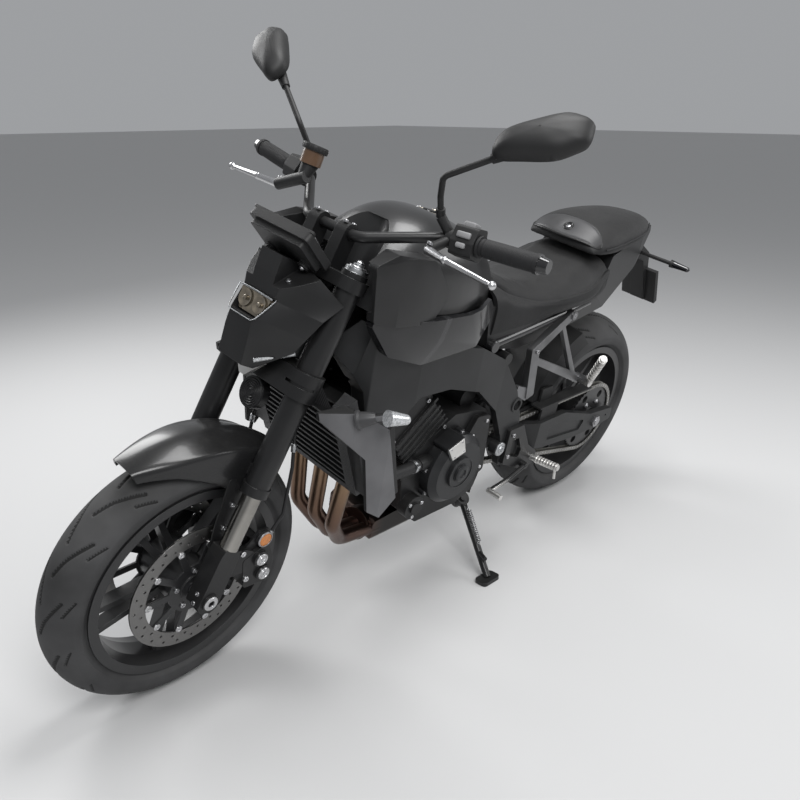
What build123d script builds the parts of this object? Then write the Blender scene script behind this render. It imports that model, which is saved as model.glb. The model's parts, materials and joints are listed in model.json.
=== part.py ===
"""Standard motorcycle: a naked roadster that leans on its side stand.

Millimetres. Every piece is drawn on the upright bike: X forward, Y to the rider's left,
Z up. Pieces that turn with the fork are drawn along the fork: the lower ones from the
front axle, the upper ones from the middle of the steering head. They are turned by the
resting steering angle. At the end the bike is set on its wheels and leaned over.
"""

import math
import os
from functools import cache

from build123d import *

# Driving dimensions
RIM_SEAT = 216.0
FRONT_TYRE_HEIGHT = 84.0
REAR_TYRE_HEIGHT = 99.0
ARM_LENGTH = 520.0
ARM_RISE = 69.0
PIVOT = (520.0, 384.0)
HEAD_PLACE = (1150.762, 843.016)
HEAD_S = 610.0
RAKE = 24.67
FORK_OFFSET = 27.1
FORK_SPACING = 210.0
ENGINE_HALF = 122.0
LEAN = 11.9
REST_STEER = 2.2

# Fits between pieces
FIT = 0.3
RUNNING_FIT = 0.5
CLEAR = 6.0

# Wheels and tyres
FRONT_RADIUS = RIM_SEAT + FRONT_TYRE_HEIGHT
REAR_RADIUS = RIM_SEAT + REAR_TYRE_HEIGHT
FRONT_WIDTH = 120.0
FRONT_CROWN_DROP = 38.0
REAR_WIDTH = 180.0
REAR_CROWN_DROP = 52.0
CROWN_STEPS = 10
FLANGE_RISE = 12.0
RIM_FLANGE = RIM_SEAT + FLANGE_RISE
RIM_WALL = 9.0
RIM_WELL = 8.0
FLANGE_WALL = 5.0
FRONT_RIM_WIDTH = 100.0
REAR_RIM_WIDTH = 150.0
SPOKE_PAIRS = 5
SPOKE_SPREAD = 28.0
SPOKE_START = 28.0
SPOKE_HUB_HALF = 10.0
SPOKE_RIM_HALF = 6.0
SPOKE_DEPTH = 30.0
HUB_RADIUS = 33.0
HUB_FLANGE = 52.0

# Brakes
DISC_INSET = 67.0
DISC_RADIUS = RIM_SEAT - DISC_INSET
DISC_BAND = 35.0
DISC_THICK = 4.5
FRONT_DISC_Y = 62.0
REAR_DISC_RADIUS = 122.0
REAR_DISC_Y = -82.0
DISC_HOLE = 3.4
DISC_HOLES = 24
SPROCKET_WINDOW = 13.0
SPROCKET_WINDOWS = 6
CARRIER_ARMS = 10
CARRIER_RADIUS = 60.0
CARRIER_ARM_WIDTH = 16.0
PAD_GAP = 5.0

# Chain drive
CHAIN_INSET = 16.0
CHAIN_Y = ENGINE_HALF - CHAIN_INSET
CHAIN_WIDTH = 16.0
CHAIN_PLATE = 2.5
CHAIN_HALF_HEIGHT = 7.5
CHAIN_WAIST = 5.4
CHAIN_ROLLER = 4.0
CHAIN_PITCH = 15.875
REAR_TEETH = 45
FRONT_TEETH = 16
FRONT_SPROCKET = (600.0, 385.0)

# Swingarm
ARM_WALL = 20.0
ARM_INNER = CHAIN_Y + CHAIN_WIDTH / 2 + CLEAR + 1
ARM_OUTER = ARM_INNER + ARM_WALL
PIVOT_RADIUS = 22.0
SHAFT_RADIUS = 14.0
SPOOL_BACK = 66.0
SPOOL_RADIUS = 4.0
SPOOL_DEPTH = 16.0

# Frame
SPAR_INNER = ENGINE_HALF - 10
SPAR_OUTER = SPAR_INNER + 36
PLATE_INNER = ENGINE_HALF
PLATE_OUTER = PLATE_INNER + 20

# Axles
FRONT_AXLE_RADIUS = 11.0
FRONT_AXLE_BORE = 7.5
FRONT_AXLE_HALF = FORK_SPACING / 2 + 22
REAR_AXLE_RADIUS = 12.0
REAR_AXLE_HALF = ARM_OUTER + 11

# Fork: S is measured along the fork from the front axle, H from the middle of the head
TUBE_RADIUS = 27.0
STANCHION_RADIUS = 20.5
SEAL_S = 255.0
LUG_TOP_S = 122.0
LUG_RADIUS = 25.0
LOWER_CLAMP_H = (-144.0, -88.0)
TOP_CLAMP_H = (88.0, 114.0)
TUBE_TOP_S = HEAD_S + TOP_CLAMP_H[1] + 11
CLAMP_WALL = 8.0
STEM_RADIUS = 15.0
HEAD_RADIUS = 32.0
HEAD_GAP = 4.0

# Handlebar, from the middle of the head
BAR_RADIUS = 11.0
RISER_Y = 40.0
RISER_WIDTH = 28.0
RISER_RADIUS = 20.0
BAR_H = TOP_CLAMP_H[1] + 73
BAR_BEND = 45.0
BAR_BASE_Y = RISER_Y + RISER_WIDTH / 2 + 19
BAR_KINK = (-90.0, 200.0, BAR_H + 74)
BAR_END = (-105.0, 398.0, BAR_H + 96)
GRIP_RADIUS = 17.0
GRIP_LENGTH = 122.0
BAR_WEIGHT_LENGTH = 18.0

# Engine
CRANK = (740.0, 400.0)
BANK_TILT = 40.0
HEAD_HALF = ENGINE_HALF - 14
COVER_CENTRE = (CRANK[0] - 20, CRANK[1] - 5)
COVER_RADIUS = 98.0
COVER_DEPTH = 46.0
PORT_SPACING = 84.0
HEADER_RADIUS = 19.0

# Side stand
STAND_PIVOT = (565.0, 92.0, 200.0)
STAND_FOOT = (618.6, 271.3, 55.9)
STAND_FOLDED = (-0.985, 0.17, 0.02)
STAND_RADIUS = 10.0
STAND_BOLT = 6.0
EYE_HALF = 9.0
EYE_RADIUS = 20.0

COS_RAKE = math.cos(math.radians(RAKE))
SIN_RAKE = math.sin(math.radians(RAKE))
FRONT_AXLE = (
    HEAD_PLACE[0] + HEAD_S * SIN_RAKE + FORK_OFFSET * COS_RAKE,
    0.0,
    HEAD_PLACE[1] - HEAD_S * COS_RAKE + FORK_OFFSET * SIN_RAKE,
)
REAR_AXLE = (PIVOT[0] - ARM_LENGTH, 0.0, PIVOT[1] - ARM_RISE)
REAR_CENTRE = (REAR_AXLE[0], REAR_AXLE[2])
WHEELBASE = FRONT_AXLE[0] - REAR_AXLE[0]
SPOOL_PLACE = (REAR_CENTRE[0] - SPOOL_BACK, REAR_CENTRE[1] + 2)
FORK = Plane(origin=FRONT_AXLE, x_dir=(COS_RAKE, 0, SIN_RAKE), z_dir=(-SIN_RAKE, 0, COS_RAKE))
FORK_Y = FORK_SPACING / 2


# Shape helpers
def outline(points, radius=0.0):
    """A closed face through points, with rounded corners where a radius is given."""
    if radius:
        return make_face(FilletPolyline(*points, radius=radius, close=True))
    return make_face(Polyline(*points, close=True))


def side_slab(points, y0, y1, radius=0.0):
    """A side-view outline (x, z) carried from y0 to y1."""
    face = Pos(0, y0, 0) * (Plane.XZ * outline(points, radius))
    return extrude(face, amount=y1 - y0, dir=(0, 1, 0))


def plan_slab(points, z0, z1, radius=0.0):
    """A plan-view outline (x, y) carried from z0 to z1."""
    return extrude(Pos(0, 0, z0) * outline(points, radius), amount=z1 - z0)


def front_slab(points, x0, x1, radius=0.0):
    """A front-view outline (y, z) carried from x0 to x1."""
    face = Pos(x0, 0, 0) * (Plane.YZ * outline(points, radius))
    return extrude(face, amount=x1 - x0, dir=(1, 0, 0))


def both_sides(half):
    """A half outline (a, y) closed by its mirror image."""
    return half + [(a, -y) for a, y in reversed(half)]


def rod(start, end, radius, end_radius=None):
    """A round bar or cone between two points."""
    p, q = Vector(*start), Vector(*end)
    plane = Plane(origin=p, z_dir=q - p)
    up = (Align.CENTER, Align.CENTER, Align.MIN)
    length = (q - p).length
    if end_radius is None:
        return plane * Cylinder(radius, length, align=up)
    return plane * Cone(radius, end_radius, length, align=up)


def cross_rod(centre, y0, y1, radius):
    """A round bar along Y at a side-view place (x, z)."""
    return rod((centre[0], y0, centre[1]), (centre[0], y1, centre[1]), radius)


def block(x0, x1, y0, y1, z0, z1):
    """A box between its limits."""
    size = (x1 - x0, y1 - y0, z1 - z0)
    return Pos((x0 + x1) / 2, (y0 + y1) / 2, (z0 + z1) / 2) * Box(*size)


def pipe(points, radius, bend):
    """A round bar along straight runs with rounded corners."""
    path = FilletPolyline(*points, radius=bend)
    section = Plane(origin=path @ 0, z_dir=path % 0) * Circle(radius)
    return sweep(section, path=path)


def ring(profile):
    """A profile of (radius, y) points turned about the Y axis."""
    return revolve(outline(profile), axis=Axis.Y)


def crowned(rows):
    """A smooth body through front-view sections: x, half outline from low edge to the middle of the top."""
    sections = []
    for x, half in rows:
        over = half + [(-y, z) for y, z in reversed(half[:-1])]
        wire = Spline(*over) + Line(over[-1], over[0])
        sections.append(Pos(x, 0, 0) * (Plane.YZ * make_face(wire)))
    return loft(sections)


def mirrored(shape):
    """The same piece on the other side of the bike."""
    return mirror(shape, about=Plane.XZ)


def on_fork(shape):
    """Carry a piece from the front axle's frame to the upright bike."""
    return FORK * shape


def on_head(shape):
    """Carry a piece from the steering head's frame to the upright bike."""
    return FORK * (Pos(0, 0, HEAD_S) * shape)


def fork_to_bike(x, y, s):
    """A point of the fork's frame on the upright bike."""
    place = FORK.from_local_coords(Vector(x, y, s))
    return (place.X, place.Y, place.Z)


def steering_axis():
    """The steering axis on the upright bike."""
    return Axis(fork_to_bike(-FORK_OFFSET, 0, 0), FORK.z_dir)


@cache
def steering_space():
    """The room that the turning fork and cowl take up, for the pieces around it."""
    low, high = LOWER_CLAMP_H[0] - 20, TOP_CLAMP_H[1] + 41
    room = turning_sector(128, low, high)
    room += turning_sector(152, low, LOWER_CLAMP_H[1] + CLEAR)
    room += rod((-FORK_OFFSET, 0, TOP_CLAMP_H[0] - CLEAR), (-FORK_OFFSET, 0, BAR_H + 60), 90)
    room += rod((-FORK_OFFSET, 0, low), (-FORK_OFFSET, 0, LOWER_CLAMP_H[1] + CLEAR), STEM_RADIUS + 38 + CLEAR)
    return on_head(room)


def turning_sector(side, low, high):
    """The part of a turn, to this many degrees each side, that the clamps sweep."""
    reach = FORK_Y + TUBE_RADIUS + CLAMP_WALL + CLEAR + 3
    edge = math.radians(side)
    corner = (reach * math.cos(edge), reach * math.sin(edge))
    face = make_face(
        Polyline((corner[0], -corner[1]), (0, 0), corner)
        + ThreePointArc(corner, (reach, 0), (corner[0], -corner[1]))
    )
    return Pos(-FORK_OFFSET, 0, low) * extrude(face, amount=high - low)


# Wheels
def tyre(radius, width, drop, rim_width):
    """A tyre: beads between the rim's flanges, side walls and a round crown."""
    half = width / 2
    crown = (half**2 + drop**2) / (2 * drop)
    edge = math.asin(half / crown)
    bead_y = rim_width / 2 - FLANGE_WALL - FIT
    bead_r = RIM_SEAT + FIT
    lip_r = RIM_FLANGE + 6
    shoulder_r = radius - drop
    tread = []
    for step in range(CROWN_STEPS + 1):
        turn = -edge + 2 * edge * step / CROWN_STEPS
        tread.append((radius - crown + crown * math.cos(turn), crown * math.sin(turn)))
    wall = [(bead_r, bead_y), (lip_r, bead_y), (lip_r + (shoulder_r - lip_r) * 0.35, half - 4),
            (lip_r + (shoulder_r - lip_r) * 0.72, half - 1)]
    left = [(r, -y) for r, y in wall]
    return ring(left + tread + list(reversed(wall)))


def rim(rim_width, hub_half, bore):
    """A cast rim: barrel with flanges and well, hub, and spokes in five spreading pairs."""
    half = rim_width / 2
    inner = RIM_SEAT - RIM_WALL
    shelf = half - FLANGE_WALL
    well = inner - RIM_WELL
    barrel = ring(
        [(inner, -half), (RIM_FLANGE, -half), (RIM_FLANGE, -shelf), (RIM_SEAT, -shelf),
         (RIM_SEAT, shelf), (RIM_FLANGE, shelf), (RIM_FLANGE, half), (inner, half),
         (well, SPOKE_DEPTH / 2 + 6), (well, -SPOKE_DEPTH / 2 - 6)]
    )
    wheel = barrel + cross_rod((0, 0), -hub_half, hub_half, HUB_RADIUS)
    wheel += cross_rod((0, 0), -SPOKE_DEPTH / 2 - 2, SPOKE_DEPTH / 2 + 2, HUB_FLANGE)
    tip_r = well + RIM_WALL / 2
    root_r = HUB_RADIUS * 0.6
    for pair in range(SPOKE_PAIRS):
        hub_angle = SPOKE_START + 360 / SPOKE_PAIRS * pair
        for side in (-1, 1):
            root = Vector(root_r, 0, 0).rotate(Axis.Z, hub_angle + side * 12)
            tip = Vector(tip_r, 0, 0).rotate(Axis.Z, hub_angle + side * SPOKE_SPREAD)
            across = (tip - root).normalized().rotate(Axis.Z, 90)
            corners = [root + across * SPOKE_HUB_HALF, tip + across * SPOKE_RIM_HALF,
                       tip - across * SPOKE_RIM_HALF, root - across * SPOKE_HUB_HALF]
            spoke = [(c.X, c.Y) for c in corners]
            wheel += side_slab(spoke, -SPOKE_DEPTH / 2, SPOKE_DEPTH / 2)
    return wheel - cross_rod((0, 0), -hub_half - 1, hub_half + 1, bore)


def circle_points(radius, count, start=0.0, end=360.0):
    """Points evenly along an arc about the origin, both ends included on a part of a turn."""
    steps = count if end - start >= 360 else count - 1
    turns = [math.radians(start + (end - start) * step / steps) for step in range(count)]
    return [(radius * math.cos(turn), radius * math.sin(turn)) for turn in turns]


def polygon_wire(points):
    """A closed wire through points."""
    return Wire.make_polygon([Vector(*point) for point in points], close=True)


def disc_face(radius, band):
    """A brake disc seen along the axle: drilled band, carrier arms and the ring at the hub."""
    inner = radius - band
    windows = []
    for arm in range(CARRIER_ARMS):
        pitch_angle = 360 / CARRIER_ARMS
        near = math.degrees(CARRIER_ARM_WIDTH / 2 / CARRIER_RADIUS)
        far = math.degrees(CARRIER_ARM_WIDTH / 2 / inner)
        low, high = arm * pitch_angle, (arm + 1) * pitch_angle
        inside = circle_points(CARRIER_RADIUS, 3, low + near, high - near)
        outside = circle_points(inner, 5, low + far, high - far)
        windows.append(polygon_wire(inside + outside[::-1]))
    for row in range(2):
        place = radius - band * (0.3 + 0.4 * row)
        for hole in range(DISC_HOLES):
            turn = math.radians(360 / DISC_HOLES * (hole + row / 2))
            x, z = place * math.cos(turn), place * math.sin(turn)
            windows.append(polygon_wire([(x + a, z + c) for a, c in circle_points(DISC_HOLE, 6)]))
    windows.append(Wire.make_circle(HUB_RADIUS - 5))
    return Face(Wire.make_circle(radius), windows)


def brake_disc(y, radius, carrier_y):
    """A brake disc on its carrier."""
    y0 = y - DISC_THICK / 2
    face = Pos(0, y0, 0) * (Plane.XZ * disc_face(radius, DISC_BAND))
    disc = extrude(face, amount=DISC_THICK, dir=(0, 1, 0))
    web = CARRIER_RADIUS - 6
    return disc + ring([(HUB_RADIUS - 5, carrier_y), (web, carrier_y), (web, y), (HUB_RADIUS - 5, y)])


def front_rim():
    """The front rim with its two brake discs."""
    wheel = rim(FRONT_RIM_WIDTH, FRONT_DISC_Y + 6, FRONT_AXLE_RADIUS + RUNNING_FIT)
    for side in (-1, 1):
        wheel += brake_disc(side * FRONT_DISC_Y, DISC_RADIUS, side * (SPOKE_DEPTH / 2))
    return Pos(*FRONT_AXLE) * wheel


def sprocket_radius(teeth):
    """Pitch radius of a chain sprocket."""
    return CHAIN_PITCH / (2 * math.sin(math.pi / teeth))


def sprocket(teeth, carrier):
    """A toothed sprocket plate with round windows, its tips just inside the chain's rollers."""
    tip = sprocket_radius(teeth) - CHAIN_ROLLER - RUNNING_FIT
    root = tip - 5
    points = []
    for tooth in range(teeth):
        for share, reach in ((0.0, root), (0.3, tip), (0.55, tip)):
            turn = 2 * math.pi * (tooth + share) / teeth
            points.append((reach * math.cos(turn), reach * math.sin(turn)))
    middle = (carrier + root) / 2
    places = circle_points(middle, SPROCKET_WINDOWS)
    windows = [Wire.make_circle(SPROCKET_WINDOW, Plane(origin=(x, z, 0))) for x, z in places]
    half = CHAIN_WIDTH / 2 - CHAIN_PLATE - 2
    face = Pos(0, CHAIN_Y - half, 0) * (Plane.XZ * Face(polygon_wire(points), windows))
    return extrude(face, amount=2 * half, dir=(0, 1, 0))


def rear_rim():
    """The rear rim with its sprocket on the left and brake disc on the right."""
    wheel = rim(REAR_RIM_WIDTH, CHAIN_Y + 8, REAR_AXLE_RADIUS + RUNNING_FIT)
    wheel += brake_disc(REAR_DISC_Y, REAR_DISC_RADIUS, -SPOKE_DEPTH / 2)
    carrier = CARRIER_RADIUS + 4
    wheel += sprocket(REAR_TEETH, carrier)
    wheel += cross_rod((0, 0), SPOKE_DEPTH / 2, CHAIN_Y, carrier)
    wheel -= cross_rod((0, 0), -CHAIN_Y - 20, CHAIN_Y + 20, REAR_AXLE_RADIUS + RUNNING_FIT)
    return Pos(*REAR_AXLE) * wheel


def front_tyre():
    """The front tyre."""
    return Pos(*FRONT_AXLE) * tyre(FRONT_RADIUS, FRONT_WIDTH, FRONT_CROWN_DROP, FRONT_RIM_WIDTH)


def rear_tyre():
    """The rear tyre."""
    return Pos(*REAR_AXLE) * tyre(REAR_RADIUS, REAR_WIDTH, REAR_CROWN_DROP, REAR_RIM_WIDTH)


# Fork and steering
def front_axle():
    """The hollow front axle, clamped in both lugs."""
    bar = cross_rod((0, 0), -FRONT_AXLE_HALF, FRONT_AXLE_HALF, FRONT_AXLE_RADIUS)
    for side in (-1, 1):
        hub_end = FRONT_DISC_Y + 6
        collar_end = FORK_Y - LUG_RADIUS
        bar += cross_rod((0, 0), side * (hub_end + 1), side * collar_end, FRONT_AXLE_RADIUS + 5)
    bar -= cross_rod((0, 0), -FRONT_AXLE_HALF - 1, FRONT_AXLE_HALF + 1, FRONT_AXLE_BORE)
    return on_fork(bar)


@cache
def fork_leg():
    """The left fork leg: outer tube, inner tube, axle lug with caliper ears, guard and cap."""
    at = (0, FORK_Y)
    leg = rod((*at, SEAL_S), (*at, TUBE_TOP_S), TUBE_RADIUS)
    leg += rod((*at, SEAL_S - 6), (*at, SEAL_S + 14), TUBE_RADIUS + 2.5)
    leg += rod((*at, TUBE_TOP_S), (*at, TUBE_TOP_S + 9), TUBE_RADIUS - 4)
    leg += rod((*at, TUBE_TOP_S + 9), (*at, TUBE_TOP_S + 18), 11)
    leg += rod((*at, LUG_TOP_S), (*at, SEAL_S - 6), STANCHION_RADIUS)
    lug = side_slab([(-26, -14), (-14, -27), (14, -27), (26, -14), (25, LUG_TOP_S - 20),
                     (21, LUG_TOP_S), (-21, LUG_TOP_S), (-25, LUG_TOP_S - 20)],
                    FORK_Y - LUG_RADIUS, FORK_Y + LUG_RADIUS - 8, 6)
    ears = side_slab([(-20, 40), (-60, 48), (-108, 66), (-100, 84), (-84, 108), (-60, 112), (-20, 104)],
                     FORK_Y - 22, FORK_Y - 2, 8)
    boss = cross_rod((0, 0), FORK_Y + LUG_RADIUS - 8, FORK_Y + LUG_RADIUS - 3, FRONT_AXLE_RADIUS + 9)
    guard = side_slab([(-62, 96), (-90, 92), (-124, 128), (-114, 160), (-84, 156)], FORK_Y - 16, FORK_Y - 11, 6)
    reflector_seat = cross_rod((-102, 138), FORK_Y - 16, FORK_Y - 7, 19)
    leg += lug + ears + boss + guard + reflector_seat
    leg -= cross_rod((0, 0), 0, FORK_Y + 60, FRONT_AXLE_RADIUS)
    return on_fork(leg)


def caliper():
    """The left front caliper: a radial four-piston body over the disc."""
    body = side_slab([(-65, 83), (-118, 131), (-156, 90), (-174, 36), (-104, 14)],
                     FRONT_DISC_Y - 30, FRONT_DISC_Y + 42, 10)
    for place in ((-112, 92), (-138, 56)):
        body += cross_rod(place, FRONT_DISC_Y + 42, FRONT_DISC_Y + 48, 19)
        body += cross_rod(place, FRONT_DISC_Y - 35, FRONT_DISC_Y - 30, 19)
    slot = DISC_THICK / 2 + PAD_GAP
    body -= cross_rod((0, 0), FRONT_DISC_Y - slot, FRONT_DISC_Y + slot, DISC_RADIUS + CLEAR)
    return on_fork(body) - fork_leg()


def clamp_plate(low, high, wall, stem_wall):
    """A fork clamp seen along the fork: two eyes and the stem boss in one outline."""
    eye = TUBE_RADIUS + wall
    circles = [Pos(0, side * FORK_Y) * Circle(eye) for side in (-1, 1)]
    boss = Pos(-FORK_OFFSET, 0) * Circle(STEM_RADIUS + stem_wall)
    edges = [edge for shape in (*circles, boss) for edge in shape.edges()]
    plate = extrude(Pos(0, 0, low) * make_hull(edges), amount=high - low)
    for side in (-1, 1):
        plate -= rod((0, side * FORK_Y, low - 1), (0, side * FORK_Y, high + 1), TUBE_RADIUS)
    return plate


@cache
def yokes():
    """Both fork clamps on the steering stem, with the bar risers and the horn."""
    low, high = LOWER_CLAMP_H
    piece = clamp_plate(low, high, CLAMP_WALL, 22)
    groove = (low + high) / 2
    for side in (-1, 1):
        eye = rod((0, side * FORK_Y, groove - 3), (0, side * FORK_Y, groove + 3), TUBE_RADIUS + CLAMP_WALL + 5)
        eye -= rod((0, side * FORK_Y, groove - 4), (0, side * FORK_Y, groove + 4), TUBE_RADIUS + CLAMP_WALL - 3)
        piece -= eye & block(4, 90, -200, 200, low, high)
    piece += clamp_plate(*TOP_CLAMP_H, CLAMP_WALL - 1, 18)
    piece += rod((-FORK_OFFSET, 0, low), (-FORK_OFFSET, 0, TOP_CLAMP_H[1] + 14), STEM_RADIUS)
    for side in (-1, 1):
        y0, y1 = side * RISER_Y - RISER_WIDTH / 2, side * RISER_Y + RISER_WIDTH / 2
        piece += block(-RISER_RADIUS, RISER_RADIUS, y0, y1, TOP_CLAMP_H[1] - 2, BAR_H)
        piece += cross_rod((0, BAR_H), y0, y1, RISER_RADIUS)
    piece -= cross_rod((0, BAR_H), -BAR_BASE_Y, BAR_BASE_Y, BAR_RADIUS + FIT)
    piece += rod((-4, 0, low - 40), (16, 0, low - 40), 34) + block(-2, 8, -12, 12, low - 20, low + 4)
    return on_head(piece)


def bar_point(distance):
    """A point on the bar's left arm, at a distance inward from the bar's end."""
    end, kink = Vector(*BAR_END), Vector(*BAR_KINK)
    along = (kink - end).normalized()
    return end + along * distance


@cache
def handlebar():
    """The bent bar with grips and end weights."""
    left = [BAR_END, BAR_KINK, (0, BAR_BASE_Y, BAR_H)]
    right = [(p[0], -p[1], p[2]) for p in reversed(left)]
    bar = pipe(left + right, BAR_RADIUS, BAR_BEND)
    end, grip = bar_point(0), bar_point(GRIP_LENGTH)
    weight = bar_point(-BAR_WEIGHT_LENGTH)
    arm = rod(end, grip, GRIP_RADIUS)
    arm += rod(grip, bar_point(GRIP_LENGTH + 5), GRIP_RADIUS + 4)
    arm += rod(end, bar_point(8), GRIP_RADIUS + 2)
    arm += rod(end, weight, GRIP_RADIUS - 1, GRIP_RADIUS - 4)
    return on_head(bar + arm + mirrored(arm))


def lever(root, bend, tip):
    """A hand lever: a blade with a dog-leg that ends in a ball."""
    blade = rod(root, bend, 9, 7) + Pos(*bend) * Sphere(8) + rod(bend, tip, 6.5, 4.5)
    return blade + Pos(*tip) * Sphere(8.5)


def switch_block(start, length, tall):
    """A switch housing: a rounded section carried along the bar, with a thumb rest."""
    along = (Vector(*BAR_KINK) - Vector(*BAR_END)).normalized()
    plane = Plane(origin=bar_point(start), x_dir=(1, 0.2, 0), z_dir=along)
    section = outline([(-24, -tall), (18, -tall), (25, -4), (20, tall), (-14, tall + 6), (-26, 6)], 7)
    thumb = outline([(-40, -12), (-22, -12), (-22, 12), (-40, 8)], 4)
    return plane * (extrude(section, amount=length) + extrude(Pos(0, 0, length * 0.3) * thumb, amount=length * 0.4))


MIRROR_BASE = (-60.0, 186.0, BAR_H + 103)


@cache
def left_controls():
    """Switch block, clutch perch and clutch lever."""
    start = GRIP_LENGTH + 7
    root = (-41, 206, BAR_H + 35)
    piece = switch_block(start, 50, 28)
    piece += rod(bar_point(196), bar_point(start + 48), BAR_RADIUS + 8)
    piece += rod(bar_point(189), root, 10)
    piece += lever(root, (-24, 262, BAR_H + 30), (-36, 368, BAR_H + 25))
    piece += rod(bar_point(189), MIRROR_BASE, 10)
    return on_head(piece) - handlebar()


@cache
def right_controls():
    """Switch block, brake master cylinder with reservoir, and brake lever."""
    start = GRIP_LENGTH + 7
    root = (-18, 208, BAR_H + 31)
    piece = switch_block(start, 42, 25)
    piece += rod(bar_point(196), bar_point(start + 40), BAR_RADIUS + 8)
    piece += rod((-8, 128, BAR_H + 67), root, 13)
    piece += rod(bar_point(188), (-18, 200, BAR_H + 37), 11)
    piece += rod((-10, 140, BAR_H + 61), (-16, 142, BAR_H + 95), 12, 19)
    piece += rod((-16, 142, BAR_H + 93), (-13, 142, BAR_H + 121), 23)
    piece += rod((-13, 142, BAR_H + 121), (-12, 142, BAR_H + 133), 27)
    piece += lever(root, (-6, 262, BAR_H + 28), (-24, 372, BAR_H + 25))
    piece += rod(bar_point(188), MIRROR_BASE, 10)
    return on_head(mirrored(piece)) - handlebar()


def mirror_head():
    """The left mirror: bent stem and teardrop housing."""
    base = Vector(*MIRROR_BASE)
    knee = (4, 200, BAR_H + 163)
    joint = Vector(4, 332, BAR_H + 257)
    stem = pipe([base, (-30, 188, BAR_H + 133), knee, joint], 6, 20)
    sleeve = rod(base, base + Vector(12, 1, 12), 9) + rod(joint - Vector(0, 52, 37), joint - Vector(0, 20, 14), 9, 12)
    along = Vector(0, 130, 95).normalized()
    plane = Plane(origin=(6, 356, BAR_H + 275), x_dir=along, z_dir=(0.91, 0.05, 0.4))
    shape = outline([(-82, -22), (20, -46), (78, -26), (88, 18), (46, 42), (-58, 26)], 16)
    rows = ((-8, 0.95), (0, 1.0), (12, 0.93), (22, 0.74), (29, 0.42))
    head = loft([Pos(0, 0, high) * scale(shape, size) for high, size in rows])
    return on_head(stem + sleeve + plane * head)


@cache
def dash():
    """The display: a flat case with a stepped back, on a bracket from the top clamp."""
    plane = Plane(origin=(93, 0, 124), x_dir=(0.911, 0, 0.413), z_dir=(-0.413, 0, 0.911))
    case = extrude(Pos(0, 0, -2) * outline([(-47, -85), (47, -85), (47, 85), (-47, 85)], 10), amount=17)
    step = extrude(Pos(0, 0, -15) * outline([(-40, -74), (38, -74), (38, 74), (-40, 74)], 8), amount=13)
    visor = extrude(Pos(0, 0, 15) * outline([(38, -85), (47, -85), (47, 85), (38, 85)], 3), amount=5)
    top = TOP_CLAMP_H[1]
    stay = side_slab([(8, top), (40, top + 12), (80, top + 8), (84, top), (46, top + 3), (20, top)], -24, 24)
    return on_head(plane * (case + step + visor) + stay)


COWL_SECTIONS = (
    (97, (64, 55), (85, 76), (121, 50)),
    (58, (36, 85), (20, 132), (117, 52)),
    (15, (36, 80), (42, 120), (109, 46)),
    (-29, (36, 70), (47, 104), (131, 32)),
    (-65, (34, 62), (44, 86), (124, 36)),
    (-124, (72, 30), (84, 42), (111, 36)),
)
LAMP_OPENING = [(-45, 14), (45, 14), (30, -29), (-30, -29)]


def lamp_solids():
    """The main lamp in the middle and the two thin lamps along the lower edge."""
    main = front_slab(LAMP_OPENING, 78, 114, 6)
    strip = rod((34, 79, -64), (92, 40, -106), 7)
    return main + strip + mirrored(strip)


@cache
def lamp_cowl():
    """The small faceted cowl around the head lamps."""
    sections = [Pos(0, 0, h) * outline(both_sides([rear, side, front])) for h, rear, side, front in COWL_SECTIONS]
    cowl = loft(sections, ruled=True)
    shoulder = side_slab([(60, 92), (128, 24), (150, 40), (140, 120), (60, 120)], 30, 90)
    cowl -= shoulder + mirrored(shoulder)
    cowl -= front_slab([(y * 1.12, h * 1.12) for y, h in LAMP_OPENING], 104, 160)
    under = front_slab([(-46, -108), (46, -108), (8, -150), (-8, -150)], 56, 64) + block(20, 64, -14, 14, -122, -108)
    cowl += block(8, 60, -24, 24, LOWER_CLAMP_H[1] - 18, LOWER_CLAMP_H[1] + 40) + under
    for side in (-1, 1):
        cowl -= rod((0, side * FORK_Y, -210), (0, side * FORK_Y, 190), TUBE_RADIUS + 3)
    cowl -= clamp_plate(*LOWER_CLAMP_H, CLAMP_WALL, 22)
    return on_head(cowl - lamp_solids()) - dash()


def lamps():
    """The head lamps."""
    return on_head(lamp_solids())


FENDER_WALL = 3.0
FENDER_GAP = 44.0
FENDER_HALF = 75.0
FENDER_SECTIONS = (
    (44, 0.52, 3, 22),
    (56, 0.80, 9, 44),
    (68, 0.95, 12, 74),
    (80, 0.98, 13, 98),
    (92, 1.0, 13, 118),
    (104, 1.0, 13, 118),
)


def fender_section(turn, width, shoulder, side):
    """The fender cut across at an angle round the wheel: a thin arch."""
    top = FRONT_RADIUS + FENDER_GAP
    half = FENDER_HALF * width
    arch = [(top - side, -half), (top - shoulder - 12, -half + 2), (top - shoulder, -half * 0.72), (top, 0),
            (top - shoulder, half * 0.72), (top - shoulder - 12, half - 2), (top - side, half)]
    inside = [(r - (FENDER_WALL if abs(y) < half else 0), y * (half - FENDER_WALL) / half) for r, y in reversed(arch)]
    return Rot(0, -turn, 0) * outline(arch + inside)


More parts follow.
